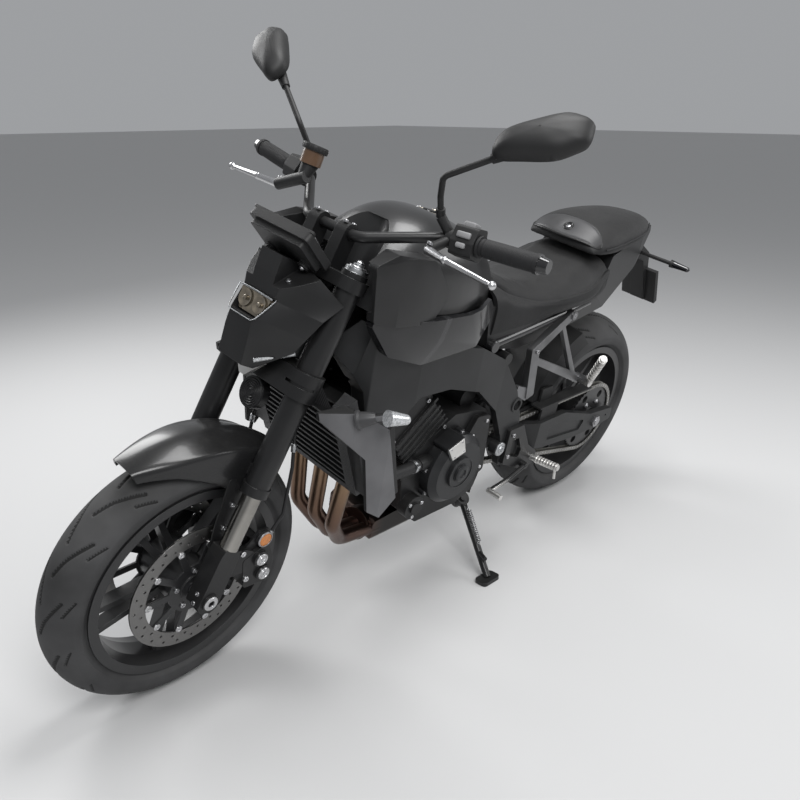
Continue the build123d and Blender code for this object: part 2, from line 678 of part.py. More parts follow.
def front_fender():
    """The short front fender: arched, narrow at its tip, with side wings and stays to the fork."""
    shell = loft([fender_section(*row) for row in FENDER_SECTIONS], ruled=True)
    half = FENDER_HALF
    boss = block(-12, 12, half - FENDER_WALL, FORK_Y, 278, 302) - rod((0, FORK_Y, 200), (0, FORK_Y, 400), TUBE_RADIUS)
    boss &= block(-12, 12, 0, FORK_Y - TUBE_RADIUS + 4, 200, 400)
    stay = side_slab([(48, 262), (-24, 262), (-24, 108), (-10, 80), (14, 80), (30, 150)], half - FENDER_WALL, half, 8)
    seat = cross_rod((2, 96), half, FORK_Y - LUG_RADIUS, 9)
    return on_fork(shell + boss + mirrored(boss) + stay + mirrored(stay) + seat + mirrored(seat))


@cache
def brake_lines():
    """The front brake hoses: from each caliper up behind the fork to the lower clamp."""
    low = HEAD_S + LOWER_CLAMP_H[0]
    line = pipe([(-128, 84, 122), (-146, 84, 190), (-116, 76, 300), (-76, 64, 400), (-46, 47, low - 10), (-38, 38, low)], 4, 18)
    return on_fork(line + mirrored(line))


# Frame, engine and running gear
@cache
def steering_head():
    """The head tube with the webs that join it to both spars."""
    low, high = LOWER_CLAMP_H[1] + HEAD_GAP, TOP_CLAMP_H[0] - HEAD_GAP
    tube = rod((-FORK_OFFSET, 0, low), (-FORK_OFFSET, 0, high), HEAD_RADIUS)
    bore = rod((-FORK_OFFSET, 0, low - 1), (-FORK_OFFSET, 0, high + 1), STEM_RADIUS + RUNNING_FIT)
    web = side_slab([(1130, 840), (1106, 892), (1050, 868), (980, 830), (1000, 780), (1070, 770)], -60, 60, 12)
    return on_head(tube) + (web - steering_space()) - on_head(bore)


SPAR_SIDE = [(1128, 880), (1040, 838), (900, 782), (700, 730), (590, 672), (500, 560), (455, 470),
             (428, 350), (450, 318), (505, 318), (525, 420), (580, 520), (680, 606), (800, 646),
             (905, 652), (960, 600), (1010, 556), (1052, 580), (1072, 700), (1130, 800)]
SPAR_PLAN = [(1150, 40), (1060, 96), (920, SPAR_INNER), (700, SPAR_INNER + 4), (580, PLATE_INNER),
             (400, PLATE_INNER), (400, PLATE_OUTER), (580, PLATE_OUTER), (700, SPAR_OUTER),
             (920, SPAR_OUTER), (1060, SPAR_OUTER - 12), (1150, 84)]
FRAME_CAP = (487.0, 512.0)


@cache
def frame_spar():
    """The left cast spar: its side outline cut to the plan's sweep, with the plugged cross hole."""
    side = side_slab(SPAR_SIDE, 0, SPAR_OUTER + 20, 16)
    plan = plan_slab(SPAR_PLAN, 200, 1000, 10)
    spar = side & plan
    spar += cross_rod(FRAME_CAP, PLATE_OUTER - 4, PLATE_OUTER + 3, 21)
    spar -= cross_rod(FRAME_CAP, PLATE_OUTER - 6, PLATE_OUTER + 10, 15)
    spar -= cross_rod(PIVOT, 0, SPAR_OUTER + 20, PIVOT_RADIUS)
    return spar - steering_space() - steering_head()


def along_bank(distance, across):
    """A side-view point up the cylinder bank, from the crank."""
    turn = math.radians(BANK_TILT)
    x = CRANK[0] + distance * math.sin(turn) - across * math.cos(turn)
    z = CRANK[1] + distance * math.cos(turn) + across * math.sin(turn)
    return (x, z)


def bank_slab(low, high, half_across, half_width, radius=0.0):
    """A layer of the cylinder bank, between two distances from the crank."""
    corners = [along_bank(low, -half_across), along_bank(high, -half_across),
               along_bank(high, half_across), along_bank(low, half_across)]
    return side_slab(corners, -half_width, half_width, radius)


HOSE_SPIGOT = (850.0, ENGINE_HALF + 12, 441.0)


@cache
def engine():
    """The engine: crankcase with oil pan, finned cylinder block, head, covers and spigots."""
    case = side_slab([(556, 318), (572, 262), (640, 236), (800, 238), (868, 300), (884, 400),
                      (850, 470), (720, 540), (590, 520), (556, 440)], -ENGINE_HALF, ENGINE_HALF, 18)
    case += side_slab([(548, 392), (892, 404), (892, 414), (548, 402)], -ENGINE_HALF - 3, ENGINE_HALF + 3)
    pan = side_slab([(620, 246), (650, 230), (790, 230), (816, 250)], -86, 86)
    bank = bank_slab(60, 195, 74, ENGINE_HALF - 4)
    for layer in (112, 132, 152, 172):
        bank += bank_slab(layer, layer + 6, 80, ENGINE_HALF)
    bank += bank_slab(190, 198, 88, ENGINE_HALF - 6)
    head = side_slab([along_bank(198, -82), along_bank(285, -84), along_bank(322, -56), along_bank(322, 56),
                      along_bank(285, 84), along_bank(198, 82)], -HEAD_HALF, HEAD_HALF, 10)
    head += bank_slab(262, 270, 90, HEAD_HALF + 6)
    for y in (-PORT_SPACING, 0, PORT_SPACING):
        foot, top = along_bank(316, 4), along_bank(338, 4)
        head += rod((foot[0], y, foot[1]), (top[0], y, top[1]), 18)
    sprocket_cover = side_slab([(566, 330), (600, 316), (664, 330), (668, 470), (640, 516), (588, 508)],
                               CHAIN_Y + CHAIN_WIDTH / 2 + CLEAR, ENGINE_HALF + 14, 10)
    pump = cross_rod((846, 318), ENGINE_HALF - 4, ENGINE_HALF + 26, 32) + cross_rod((846, 318), 118, ENGINE_HALF + 32, 16)
    sx, sy, sz = HOSE_SPIGOT
    spigot = rod((sx - 44, sy - 6, sz - 4), HOSE_SPIGOT, 17)
    starter = cross_rod((640, 548), -70, 90, 30)
    filter_can = rod((860, -24, 332), (926, -24, 324), 34)
    whole = case + pan + bank + head + sprocket_cover + pump + spigot + starter + filter_can
    for side in (-1, 1):
        whole -= frame_spar() if side > 0 else mirrored(frame_spar())
    return whole - chain_space() - swingarm_bridge() - generator_cover() - clutch_cover()


COVER_PLATE = [(712, 452), (764, 440), (792, 484), (730, 506)]


@cache
def generator_cover():
    """The round cover on the engine's left: stepped hub, bolt bosses and a raised pad."""
    face = ENGINE_HALF + COVER_DEPTH
    cover = cross_rod(COVER_CENTRE, ENGINE_HALF, face, COVER_RADIUS)
    cover = chamfer(cover.edges().filter_by(GeomType.CIRCLE).sort_by(Axis.Y)[-1:], 16)
    cover += cross_rod(COVER_CENTRE, face, face + 7, 44)
    cover += cross_rod(COVER_CENTRE, face + 7, face + 10, 26)
    for bolt in range(8):
        turn = math.radians(45 * bolt + 12)
        place = (COVER_CENTRE[0] + COVER_RADIUS * math.cos(turn), COVER_CENTRE[1] + COVER_RADIUS * math.sin(turn))
        cover += cross_rod(place, ENGINE_HALF, ENGINE_HALF + 16, 9)
    return cover + side_slab(COVER_PLATE, ENGINE_HALF, face + 3, 6)


@cache
def clutch_cover():
    """The wide cover on the engine's right, with its round clutch face and filler cap."""
    cover = side_slab([(560, 330), (640, 262), (800, 280), (850, 380), (800, 480), (640, 500), (570, 430)],
                      -ENGINE_HALF - 44, -ENGINE_HALF, 40)
    cover = chamfer(cover.faces().sort_by(Axis.Y)[0].edges(), 10)
    cover += cross_rod((650, 392), -ENGINE_HALF - 58, -ENGINE_HALF - 40, 84)
    cover += cross_rod((650, 392), -ENGINE_HALF - 62, -ENGINE_HALF - 58, 56)
    return cover + cross_rod((790, 420), -ENGINE_HALF - 60, -ENGINE_HALF - 40, 22)


RADIATOR_TOP = (1172.0, 704.0)
RADIATOR_LOW = (1086.0, 462.0)
RADIATOR_DEPTH = 44.0
RADIATOR_HALF = 168.0
RADIATOR_FRAME = 16.0
RADIATOR_BARS = 12
BAR_THICK = 3.0


@cache
def radiator():
    """The radiator: side tanks and frame round a core of thin bars."""
    (tx, tz), (lx, lz) = RADIATOR_TOP, RADIATOR_LOW
    plane = Plane(origin=((tx + lx) / 2, 0, (tz + lz) / 2), x_dir=(0, 1, 0), z_dir=(tz - lz, 0, lx - tx))
    tall = math.hypot(tx - lx, tz - lz)
    inner_half, inner_tall = RADIATOR_HALF - 2 * RADIATOR_FRAME, tall / 2 - RADIATOR_FRAME
    body = side_slab([(tx, tz), (tx - RADIATOR_DEPTH, tz + 14), (lx - RADIATOR_DEPTH, lz + 14), (lx, lz)],
                     -RADIATOR_HALF, RADIATOR_HALF)
    window = block(-inner_half, inner_half, -inner_tall, inner_tall, -8, 2)
    for bar in range(RADIATOR_BARS):
        middle = -inner_tall + 2 * inner_tall * (bar + 0.5) / RADIATOR_BARS
        window -= block(-inner_half, inner_half, middle - BAR_THICK, middle + BAR_THICK, -8, -1)
    body -= plane * window
    stay = side_slab([(1050, 800), (1085, 800), (tx - 12, tz), (tx - 42, tz)], -20, 20)
    cap = rod((tx - 26, -126, tz + 4), (tx - 20, -126, tz + 34), 18)
    return body + stay + cap - engine() - steering_space() - steering_head()


@cache
def shroud():
    """The left radiator shroud, folded at its top, with the front indicator on its stalk."""
    plan = [(1240, 168), (1240, 174), (1160, 206), (1080, 232), (1030, 236), (1030, 229), (1080, 224),
            (1158, 198), (1160, RADIATOR_HALF)]
    side = [(1236, 722), (1150, 714), (1086, 668), (1034, 480), (1074, 440), (1106, 462), (1128, 600), (1232, 704)]
    panel = plan_slab(plan, 420, 740) & side_slab(side, 100, 300)
    inner = side_slab([(1164, 700), (1140, 700), (1066, 480), (1090, 480)], RADIATOR_HALF, 202)
    panel += inner & plan_slab([(1240, 160), (1160, 206), (1080, 228), (1030, 232), (1030, 160)], 400, 800)
    stalk = rod((1160, 196, 694), (1112, 258, 724), 8)
    lens = rod((1092, 272, 716), (1134, 262, 726), 11, 17) + Pos(1092, 272, 716) * Sphere(11)
    return panel + stalk + lens


@cache
def exhaust():
    """Three header pipes that meet under the engine and run into the belly silencer."""
    port = along_bank(236, -84)
    runs = None
    for y in (-PORT_SPACING, 0, PORT_SPACING):
        merge = y * 0.4
        route = [(port[0], y, port[1]), (port[0] + 82, y, port[1] - 72), (1046, y * 0.8, 300),
                 (984, merge, 206), (850, merge, 190)]
        header = pipe(route, HEADER_RADIUS, 52) + rod((port[0], y, port[1]), (port[0] + 8, y, port[1] - 7), 30)
        runs = header if runs is None else runs + header
    collector = rod((900, 0, 196), (838, -14, 188), 46, 34)
    box = side_slab([(880, 160), (880, 222), (800, 228), (640, 226), (500, 250), (480, 220), (500, 150), (820, 142)],
                    -118, 52, 14)
    box &= front_slab([(-118, 260), (-118, 172), (-92, 138), (26, 138), (52, 172), (52, 260)], 400, 900, 10)
    tails = rod((520, -80, 200), (466, -150, 214), 22) + rod((520, 16, 200), (488, 64, 196), 20)
    return runs + collector + box + tails - engine() - radiator()


TANK_ROWS = (
    (1092, [(92, 880), (104, 912), (92, 938), (48, 950), (0, 953)]),
    (1020, [(126, 840), (137, 912), (120, 970), (64, 998), (0, 1005)]),
    (920, [(136, 770), (151, 892), (132, 990), (74, 1036), (0, 1047)]),
    (800, [(130, 740), (147, 868), (126, 970), (70, 1014), (0, 1024)]),
    (690, [(108, 716), (107, 850), (90, 926), (50, 962), (0, 972)]),
    (596, [(58, 760), (58, 820), (48, 858), (28, 878), (0, 885)]),
)
CAP_PLACE = (810.0, 0.0, 1018.0)


@cache
def tank():
    """The fuel tank with its filler cap in a shallow dish."""
    body = crowned(TANK_ROWS)
    x, _, z = CAP_PLACE
    lean = Vector(-0.24, 0, 0.97)
    foot = Vector(*CAP_PLACE)
    body -= rod(foot - lean * 8, foot + lean * 40, 46)
    body += rod(foot - lean * 12, foot + lean * 6, 38) + rod(foot + lean * 6, foot + lean * 9, 30)
    return body - steering_space() - steering_head() - engine() - frame_spar() - mirrored(frame_spar())


@cache
def duct():
    """The left intake duct beside the tank's front: a curved band round a deep mouth."""
    side = [(1126, 1000), (1116, 884), (1060, 868), (940, 850), (880, 900), (960, 990), (1060, 1012)]
    plan = [(1130, 142), (1128, 168), (1060, 178), (960, 172), (880, 156), (880, 120), (1060, 120)]
    taper = [(90, 830), (176, 850), (182, 900), (166, 1000), (150, 1030), (90, 1030)]
    body = side_slab(side, 90, 200, 10) & plan_slab(plan, 800, 1050) & front_slab(taper, 800, 1200, 8)
    mouth = front_slab([(138, 982), (154, 982), (163, 905), (138, 900)], 1066, 1140)
    return body - mouth - tank() - steering_space()


@cache
def side_panel():
    """The left gloss panel below the tank."""
    side = [(1124, 888), (1060, 876), (940, 858), (800, 842), (700, 852), (640, 800), (752, 748), (930, 742), (1060, 800)]
    plan = [(1126, 140), (1126, 166), (930, 176), (760, 160), (640, 112), (640, 100), (760, 150), (930, 152)]
    taper = [(60, 730), (150, 736), (172, 800), (178, 868), (168, 900), (60, 900)]
    panel = side_slab(side, 60, 220, 8) & plan_slab(plan, 700, 900) & front_slab(taper, 600, 1200)
    return panel - tank() - duct() - frame_spar() - steering_space()


RIDER_ROWS = (
    (612, [(40, 812), (46, 850), (36, 878), (0, 888)]),
    (540, [(72, 772), (80, 806), (62, 836), (0, 846)]),
    (460, [(112, 758), (120, 788), (92, 818), (0, 828)]),
    (360, [(140, 760), (148, 792), (112, 826), (0, 834)]),
    (260, [(146, 766), (152, 806), (116, 846), (0, 856)]),
    (160, [(122, 780), (128, 838), (100, 868), (0, 880)]),
)
PILLION_ROWS = (
    (248, [(104, 886), (106, 894), (70, 908), (0, 914)]),
    (190, [(122, 886), (128, 906), (92, 940), (0, 952)]),
    (90, [(118, 888), (126, 916), (90, 952), (0, 964)]),
    (-10, [(102, 892), (108, 918), (76, 952), (0, 962)]),
    (-100, [(70, 900), (76, 918), (54, 942), (0, 950)]),
    (-160, [(38, 914), (42, 922), (28, 932), (0, 936)]),
)


@cache
def rider_seat():
    """The rider's seat: dished, wide at the back and narrow at the tank."""
    return crowned(RIDER_ROWS) - tank()


@cache
def pillion_seat():
    """The raised pillion seat."""
    return crowned(PILLION_ROWS) - rider_seat()


@cache
def tail_cover():
    """The tail: the subframe's covers under both seats, open over the wheel."""
    side = [(620, 690), (640, 800), (590, 806), (470, 756), (200, 764), (140, 876), (-160, 916), (-186, 890),
            (-70, 800), (110, 720), (300, 680), (480, 660)]
    plan = both_sides([(640, 95), (420, 122), (200, 124), (-80, 76), (-190, 40)])
    taper = [(-128, 960), (-128, 800), (-92, 640), (92, 640), (128, 800), (128, 960)]
    body = side_slab(side, -170, 170, 8) & plan_slab(plan, 600, 1000) & front_slab(taper, -200, 660)
    well = block(-60, 330, -88, 88, 600, 770)
    return body - well - rider_seat() - pillion_seat() - tank() - frame_spar() - mirrored(frame_spar())


@cache
def tail_lamp():
    """The tail lamp under the tail's end."""
    return side_slab([(-188, 886), (-186, 862), (-130, 846), (-120, 862)], -34, 34) - tail_cover()


@cache
def plate_bracket():
    """The plate bracket behind the tail, with the rear indicators."""
    arm = side_slab([(-100, 838), (-180, 850), (-262, 806), (-336, 640), (-322, 632), (-240, 780), (-170, 812), (-110, 800)],
                    -24, 24, 4)
    plate = side_slab([(-288, 752), (-344, 640), (-330, 632), (-274, 748)], -62, 62)
    bar = cross_rod((-182, 820), -140, 140, 6)
    lens = rod((-182, 138, 820), (-186, 192, 818), 12, 8) + Pos(-186, 192, 818) * Sphere(8)
    return arm + plate + bar + lens + mirrored(lens) - tail_cover() - tail_lamp()


@cache
def swingarm_arm():
    """The left swingarm arm from the pivot to the axle, with its chain adjuster."""
    (x, z), (rx, rz) = PIVOT, REAR_CENTRE
    side = [(x + 24, z - 16), (x + 24, z + 16), (x + 6, z + 24), (x - 110, z + 20), (rx + 200, rz + 89),
            (rx + 40, rz + 37), (rx - 96, rz + 23), (rx - 100, rz - 19), (rx - 20, rz - 29), (rx + 120, rz - 25),
            (rx + 300, rz - 5), (x - 80, z - 36), (x, z - 24)]
    inner = ENGINE_HALF - 56
    plan = [(x + 40, inner), (x - 100, inner), (x - 190, ARM_INNER), (rx - 110, ARM_INNER), (rx - 110, ARM_OUTER),
            (x - 190, ARM_OUTER), (x - 100, inner + 30), (x + 40, inner + 30)]
    arm = side_slab(side, 0, ARM_OUTER + 20, 10) & plan_slab(plan, 0, 600)
    pocket = [(rx + 70, rz + 24), (rx + 200, rz + 62), (rx + 280, rz + 56), (rx + 270, rz + 14), (rx + 90, rz - 6)]
    arm -= side_slab(pocket, ARM_OUTER - 5, ARM_OUTER + 1, 8)
    arm -= cross_rod(REAR_CENTRE, 0, ARM_OUTER + 60, REAR_AXLE_RADIUS)
    arm -= cross_rod(SPOOL_PLACE, ARM_OUTER - SPOOL_DEPTH, ARM_OUTER + 1, SPOOL_RADIUS)
    return arm - cross_rod(PIVOT, 0, ARM_OUTER + 60, SHAFT_RADIUS)


@cache
def swingarm_bridge():
    """The pivot shaft and the bridge between the arms."""
    x, z = PIVOT
    shaft = cross_rod(PIVOT, -PLATE_OUTER, PLATE_OUTER, SHAFT_RADIUS)
    for side in (-1, 1):
        shaft += cross_rod(PIVOT, side * PLATE_INNER, side * (PLATE_OUTER + 3), PIVOT_RADIUS)
    inner = ENGINE_HALF - 52
    bridge = side_slab([(x - 80, z - 34), (x - 70, z + 22), (x - 140, z + 24), (x - 150, z - 30)], -inner, inner, 8)
    bridge += side_slab([(x, z - 12), (x, z + 12), (x - 90, z + 14), (x - 90, z - 14)], -60, 60)
    return shaft + bridge - swingarm_arm() - mirrored(swingarm_arm())


@cache
def shock():
    """The shock absorber behind the engine, its spring shown as close turns."""
    x, z = PIVOT
    foot, top = Vector(x - 50, 0, z), Vector(x + 20, 0, 650)
    along = (top - foot).normalized()
    body = rod(foot, top, 20) + rod(foot + along * 40, foot + along * 220, 28)
    for turn in range(7):
        start = foot + along * (52 + 24 * turn)
        body += rod(start, start + along * 11, 38)
    mount = cross_rod((top.X, top.Z), -SPAR_INNER - 6, SPAR_INNER + 6, 16)
    return body + mount - swingarm_bridge() - engine() - frame_spar() - mirrored(frame_spar())


def rear_axle():
    """The rear axle with its nut."""
    axle = cross_rod(REAR_CENTRE, -REAR_AXLE_HALF, REAR_AXLE_HALF, REAR_AXLE_RADIUS)
    nut = side_slab([(20 * math.cos(math.radians(60 * k)), 20 * math.sin(math.radians(60 * k))) for k in range(6)],
                    ARM_OUTER, ARM_OUTER + 8)
    nut = Pos(REAR_CENTRE[0], 0, REAR_CENTRE[1]) * nut
    return axle + nut + mirrored(nut)


def chain_loop(grow):
    """The face inside the chain's run, grown or shrunk from the pitch line."""
    big, small = sprocket_radius(REAR_TEETH), sprocket_radius(FRONT_TEETH)
    rings = [Pos(*REAR_CENTRE) * Circle(big + grow), Pos(*FRONT_SPROCKET) * Circle(small + grow)]
    return make_hull([edge for shape in rings for edge in shape.edges()])


def chain_points():
    """Places and outward normals along the chain's pitch line, two to a link."""
    big, small = sprocket_radius(REAR_TEETH), sprocket_radius(FRONT_TEETH)
    back, front = Vector(*REAR_CENTRE), Vector(*FRONT_SPROCKET)
    span = front - back
    tilt = math.atan2(span.Y, span.X)
    spread = math.acos((big - small) / span.length)
    run = math.sqrt(span.length**2 - (big - small) ** 2)
    parts = (big * (2 * math.pi - 2 * spread), run, small * 2 * spread, run)
    links = 2 * round(sum(parts) / CHAIN_PITCH / 2)
    step = sum(parts) / links / 2
    places = []
    for index in range(2 * links):
        length = index * step
        if length < parts[0]:
            turn = tilt + spread + length / big
            normal = Vector(math.cos(turn), math.sin(turn))
            places.append((back + normal * big, normal))
            continue
        length -= parts[0]
        if length < run:
            normal = Vector(math.cos(tilt - spread), math.sin(tilt - spread))
            places.append((back + normal * big + Vector(-normal.Y, normal.X) * length, normal))
            continue
        length -= run
        if length < parts[2]:
            turn = tilt - spread + length / small
            normal = Vector(math.cos(turn), math.sin(turn))
            places.append((front + normal * small, normal))
            continue
        length -= parts[2]
        normal = Vector(math.cos(tilt + spread), math.sin(tilt + spread))
        places.append((front + normal * small + Vector(-normal.Y, normal.X) * length, normal))
    return places


@cache
def chain():
    """The chain: rollers between a plain inner row and an outer row of waisted link plates."""
    y0 = CHAIN_Y - CHAIN_WIDTH / 2
    outer, inner = [], []
    for index, (place, normal) in enumerate(chain_points()):
        half = CHAIN_HALF_HEIGHT if index % 2 == 0 else CHAIN_WAIST
        far, near = place + normal * half, place - normal * half
        outer.append((far.X, far.Y))
        inner.append((near.X, near.Y))
    plate = outline(outer) - outline(inner)
    core = chain_loop(CHAIN_ROLLER) - chain_loop(-CHAIN_ROLLER)
    plain = chain_loop(CHAIN_HALF_HEIGHT) - chain_loop(-CHAIN_HALF_HEIGHT)
    links = extrude(Pos(0, y0, 0) * (Plane.XZ * plain), amount=CHAIN_PLATE, dir=(0, 1, 0))
    links += extrude(Pos(0, y0 + CHAIN_WIDTH - CHAIN_PLATE, 0) * (Plane.XZ * plate), amount=CHAIN_PLATE, dir=(0, 1, 0))
    rollers = extrude(Pos(0, y0 + CHAIN_PLATE, 0) * (Plane.XZ * core), amount=CHAIN_WIDTH - 2 * CHAIN_PLATE, dir=(0, 1, 0))
    return links + rollers


@cache
def chain_space():
    """The room around the chain's run, inside the sprocket cover."""
    y0 = CHAIN_Y - CHAIN_WIDTH / 2 - CLEAR
    face = Pos(0, y0, 0) * (Plane.XZ * chain_loop(CHAIN_HALF_HEIGHT + CLEAR))
    return extrude(face, amount=CHAIN_WIDTH + 2 * CLEAR, dir=(0, 1, 0))


def rear_fender():
    """The short fender over the rear tyre's front with the chain guard."""
    rx, rz = REAR_CENTRE
    inner, wall, half = REAR_RADIUS + 16, 3.0, REAR_WIDTH / 2 + 10
    profile = [(inner - 30, -half), (inner, -half + 20), (inner + 12, 0), (inner, half - 20), (inner - 30, half)]
    outside = [(r + wall, y * (half + wall) / half) for r, y in reversed(profile)]
    face = outline(profile + outside)
    shell = revolve(Rot(0, -22, 0) * face, axis=Axis((0, 0, 0), (0, -1, 0)), revolution_arc=46)
    shell = Pos(*REAR_AXLE) * shell
    low = rz + sprocket_radius(REAR_TEETH) + CHAIN_HALF_HEIGHT + CLEAR
    foot = rz + 65
    top = rz + 175
    guard = side_slab([(rx + 60, low), (rx + 330, low), (rx + 330, low + 5), (rx + 60, low + 5)], half - 6, ARM_INNER + 8)
    guard += side_slab([(rx + 240, foot), (rx + 320, foot), (rx + 320, low + 5), (rx + 240, low + 5)], ARM_INNER + 2, ARM_INNER + 8)
    guard += side_slab([(rx + 240, low), (rx + 300, low), (rx + 300, top), (rx + 250, top)], half - 4, half + 3)
    stay = side_slab([(rx + 240, foot), (rx + 320, foot), (rx + 300, top), (rx + 250, top)], -half - 3, -half + 3)
    stay += block(rx + 240, rx + 320, -ARM_INNER - 8, -half, foot, foot + 30)
    shell += guard + stay
    return shell - swingarm_bridge() - swingarm_arm() - mirrored(swingarm_arm()) - chain()


def rear_caliper():
    """The rear caliper on the right arm."""
    rx, rz = REAR_CENTRE
    body = side_slab([(rx + 40, rz + 57), (rx + 110, rz + 45), (rx + 126, rz + 81), (rx + 70, rz + 121), (rx + 20, rz + 125)],
                     -ARM_INNER - 4, REAR_DISC_Y + 26, 8)
    slot = cross_rod(REAR_CENTRE, REAR_DISC_Y - 5, REAR_DISC_Y + 5, REAR_DISC_RADIUS + 4)
    return body - slot - mirrored(swingarm_arm())


PEG_PLACE = (355.0, 305.0)
PEG_LENGTH = 96.0


def ribbed_peg(root, tip):
    """A foot peg: a bar with raised teeth rings and a feeler under its end."""
    p, q = Vector(*root), Vector(*tip)
    along = (q - p).normalized()
    peg = rod(p, q, 9)
    count = 8
    pitch = ((q - p).length - 22) / count
    for rib in range(count):
        start = p + along * (22 + pitch * rib)
        peg += rod(start, start + along * pitch * 0.55, 12)
    return peg


@cache
def peg_bracket():
    """The left foot peg bracket with its peg and heel plate."""
    plate = side_slab([(500, 440), (500, 330), (400, 280), (345, 280), (335, 318), (390, 360), (440, 440)],
                      PLATE_OUTER, PLATE_OUTER + 12, 6)
    plate -= side_slab([(480, 400), (476, 350), (430, 330), (424, 356), (450, 402)], PLATE_OUTER - 1, PLATE_OUTER + 13, 6)
    x, z = PEG_PLACE
    peg = ribbed_peg((x, PLATE_OUTER + 6, z), (x - 4, PLATE_OUTER + 6 + PEG_LENGTH, z + 12))
    feeler = rod((x - 4, PLATE_OUTER + PEG_LENGTH - 4, z + 10), (x - 4, PLATE_OUTER + PEG_LENGTH + 2, z - 26), 4)
    return plate + peg + feeler - frame_spar() - swingarm_bridge()


@cache
def left_foot():
    """The left bracket with the shift lever."""
    out = PLATE_OUTER + 24
    piece = peg_bracket()
    piece += pipe([(400, out, 300), (470, out + 2, 280), (560, out + 4, 272)], 7, 20)
    return piece + cross_rod((400, 300), PLATE_OUTER + 4, out + 6, 10) + cross_rod((556, 272), out - 2, out + 44, 8)


@cache
def right_foot():
    """The right bracket with the brake pedal."""
    out = PLATE_OUTER + 24
    piece = mirrored(peg_bracket())
    piece += pipe([(400, -out, 300), (470, -out - 30, 276), (560, -out - 34, 268)], 7, 20)
    return piece + cross_rod((400, 300), -out - 6, -PLATE_OUTER - 4, 10) + cross_rod((556, 268), -out - 64, -out - 26, 8)


@cache
def pillion_peg():
    """The left pillion peg, folded up on its bracket of one bent arm and two struts."""
    inner, outer = PLATE_INNER - 3, PLATE_INNER + 16
    arm = side_slab([(294, 736), (310, 755), (470, 668), (440, 512), (408, 520), (434, 655)], inner, outer, 6)
    low_strut = side_slab([(436, 640), (430, 616), (178, 496), (164, 520)], inner + 3, outer - 3)
    high_strut = side_slab([(356, 722), (336, 716), (188, 512), (206, 506)], inner + 3, outer - 3)
    lug = side_slab([(410, 520), (440, 508), (492, 540), (488, 566), (440, 548)], inner + 4, outer - 3, 4)
    boss = cross_rod((308, 738), inner - 16, outer + 4, 12)
    hinge = rod((172, inner + 3, 512), (172, outer + 36, 512), 13)
    peg = ribbed_peg((176, outer + 30, 516), (276, outer + 104, 648))
    return arm + low_strut + high_strut + lug + boss + hinge + peg - frame_spar() - tail_cover()


@cache
def hoses():
    """The coolant hose from the radiator's foot to the engine."""
    x, y, z = HOSE_SPIGOT
    lx, lz = RADIATOR_LOW
    route = [HOSE_SPIGOT, (x + 50, y + 3, z + 4), (x + 130, y + 8, z + 14), (lx - RADIATOR_DEPTH + 10, y + 10, lz + 32)]
    return pipe(route, 15, 60) - radiator() - engine()


@cache
def stand_bracket_piece():
    """The bracket under the frame that carries the side stand."""
    px, py, pz = STAND_PIVOT
    pivot, axis = Vector(*STAND_PIVOT), stand_axis()
    arm = side_slab([(px - 10, pz + 80), (px + 48, pz + 80), (px + 18, pz - 26), (px - 24, pz - 26)], py - 34, py - 8, 8)
    room = rod(pivot - axis * (EYE_HALF + 1), pivot + axis * 60, EYE_RADIUS + CLEAR)
    arm -= room
    boss = rod(pivot - axis * 34, pivot - axis * (EYE_HALF + 1), 15)
    bolt = rod(pivot - axis * 20, pivot + axis * (EYE_HALF + 5), STAND_BOLT)
    bolt += rod(pivot + axis * (EYE_HALF + 1), pivot + axis * (EYE_HALF + 6), STAND_BOLT + 5)
    return arm + boss + bolt - engine() - frame_spar() - exhaust()


def stand_leg():
    """The side stand: eye, leg, foot and tang."""
    pivot, foot = Vector(*STAND_PIVOT), Vector(*STAND_FOOT)
    down = (foot - pivot).normalized()
    ground = ground_normal()
    leg = rod(pivot, (foot + ground * 10), STAND_RADIUS)
    axis = stand_axis()
    eye = rod(pivot - axis * EYE_HALF, pivot + axis * EYE_HALF, EYE_RADIUS)
    plane = Plane(origin=foot, x_dir=(1, 0, 0), z_dir=ground)
    pad = plane * extrude(outline([(-34, -20), (34, -20), (34, 20), (-34, 20)], 12), amount=10)
    tang_root = pivot + down * 150
    tang = rod(tang_root, (tang_root + Vector(18, 42, 4)), 6)
    slot = rod(pivot - axis * 40, pivot + axis * 40, STAND_BOLT + RUNNING_FIT)
    side_room = rod(pivot - axis * 40, pivot - axis * EYE_HALF, EYE_RADIUS + 5)
    side_room += rod(pivot + axis * EYE_HALF, pivot + axis * 40, EYE_RADIUS + 5)
    return leg + eye + pad + tang - slot - side_room


def ground_normal():
    """Straight up on the leaning bike, in the upright bike's frame."""
    turn = math.radians(LEAN)
    return Vector(0, -math.sin(turn), math.cos(turn))


@cache
def stand_axis():
    """The stand's hinge axis, square to the leg when down and when folded."""
    down = (Vector(*STAND_FOOT) - Vector(*STAND_PIVOT)).normalized()
    return down.cross(Vector(*STAND_FOLDED).normalized()).normalized()


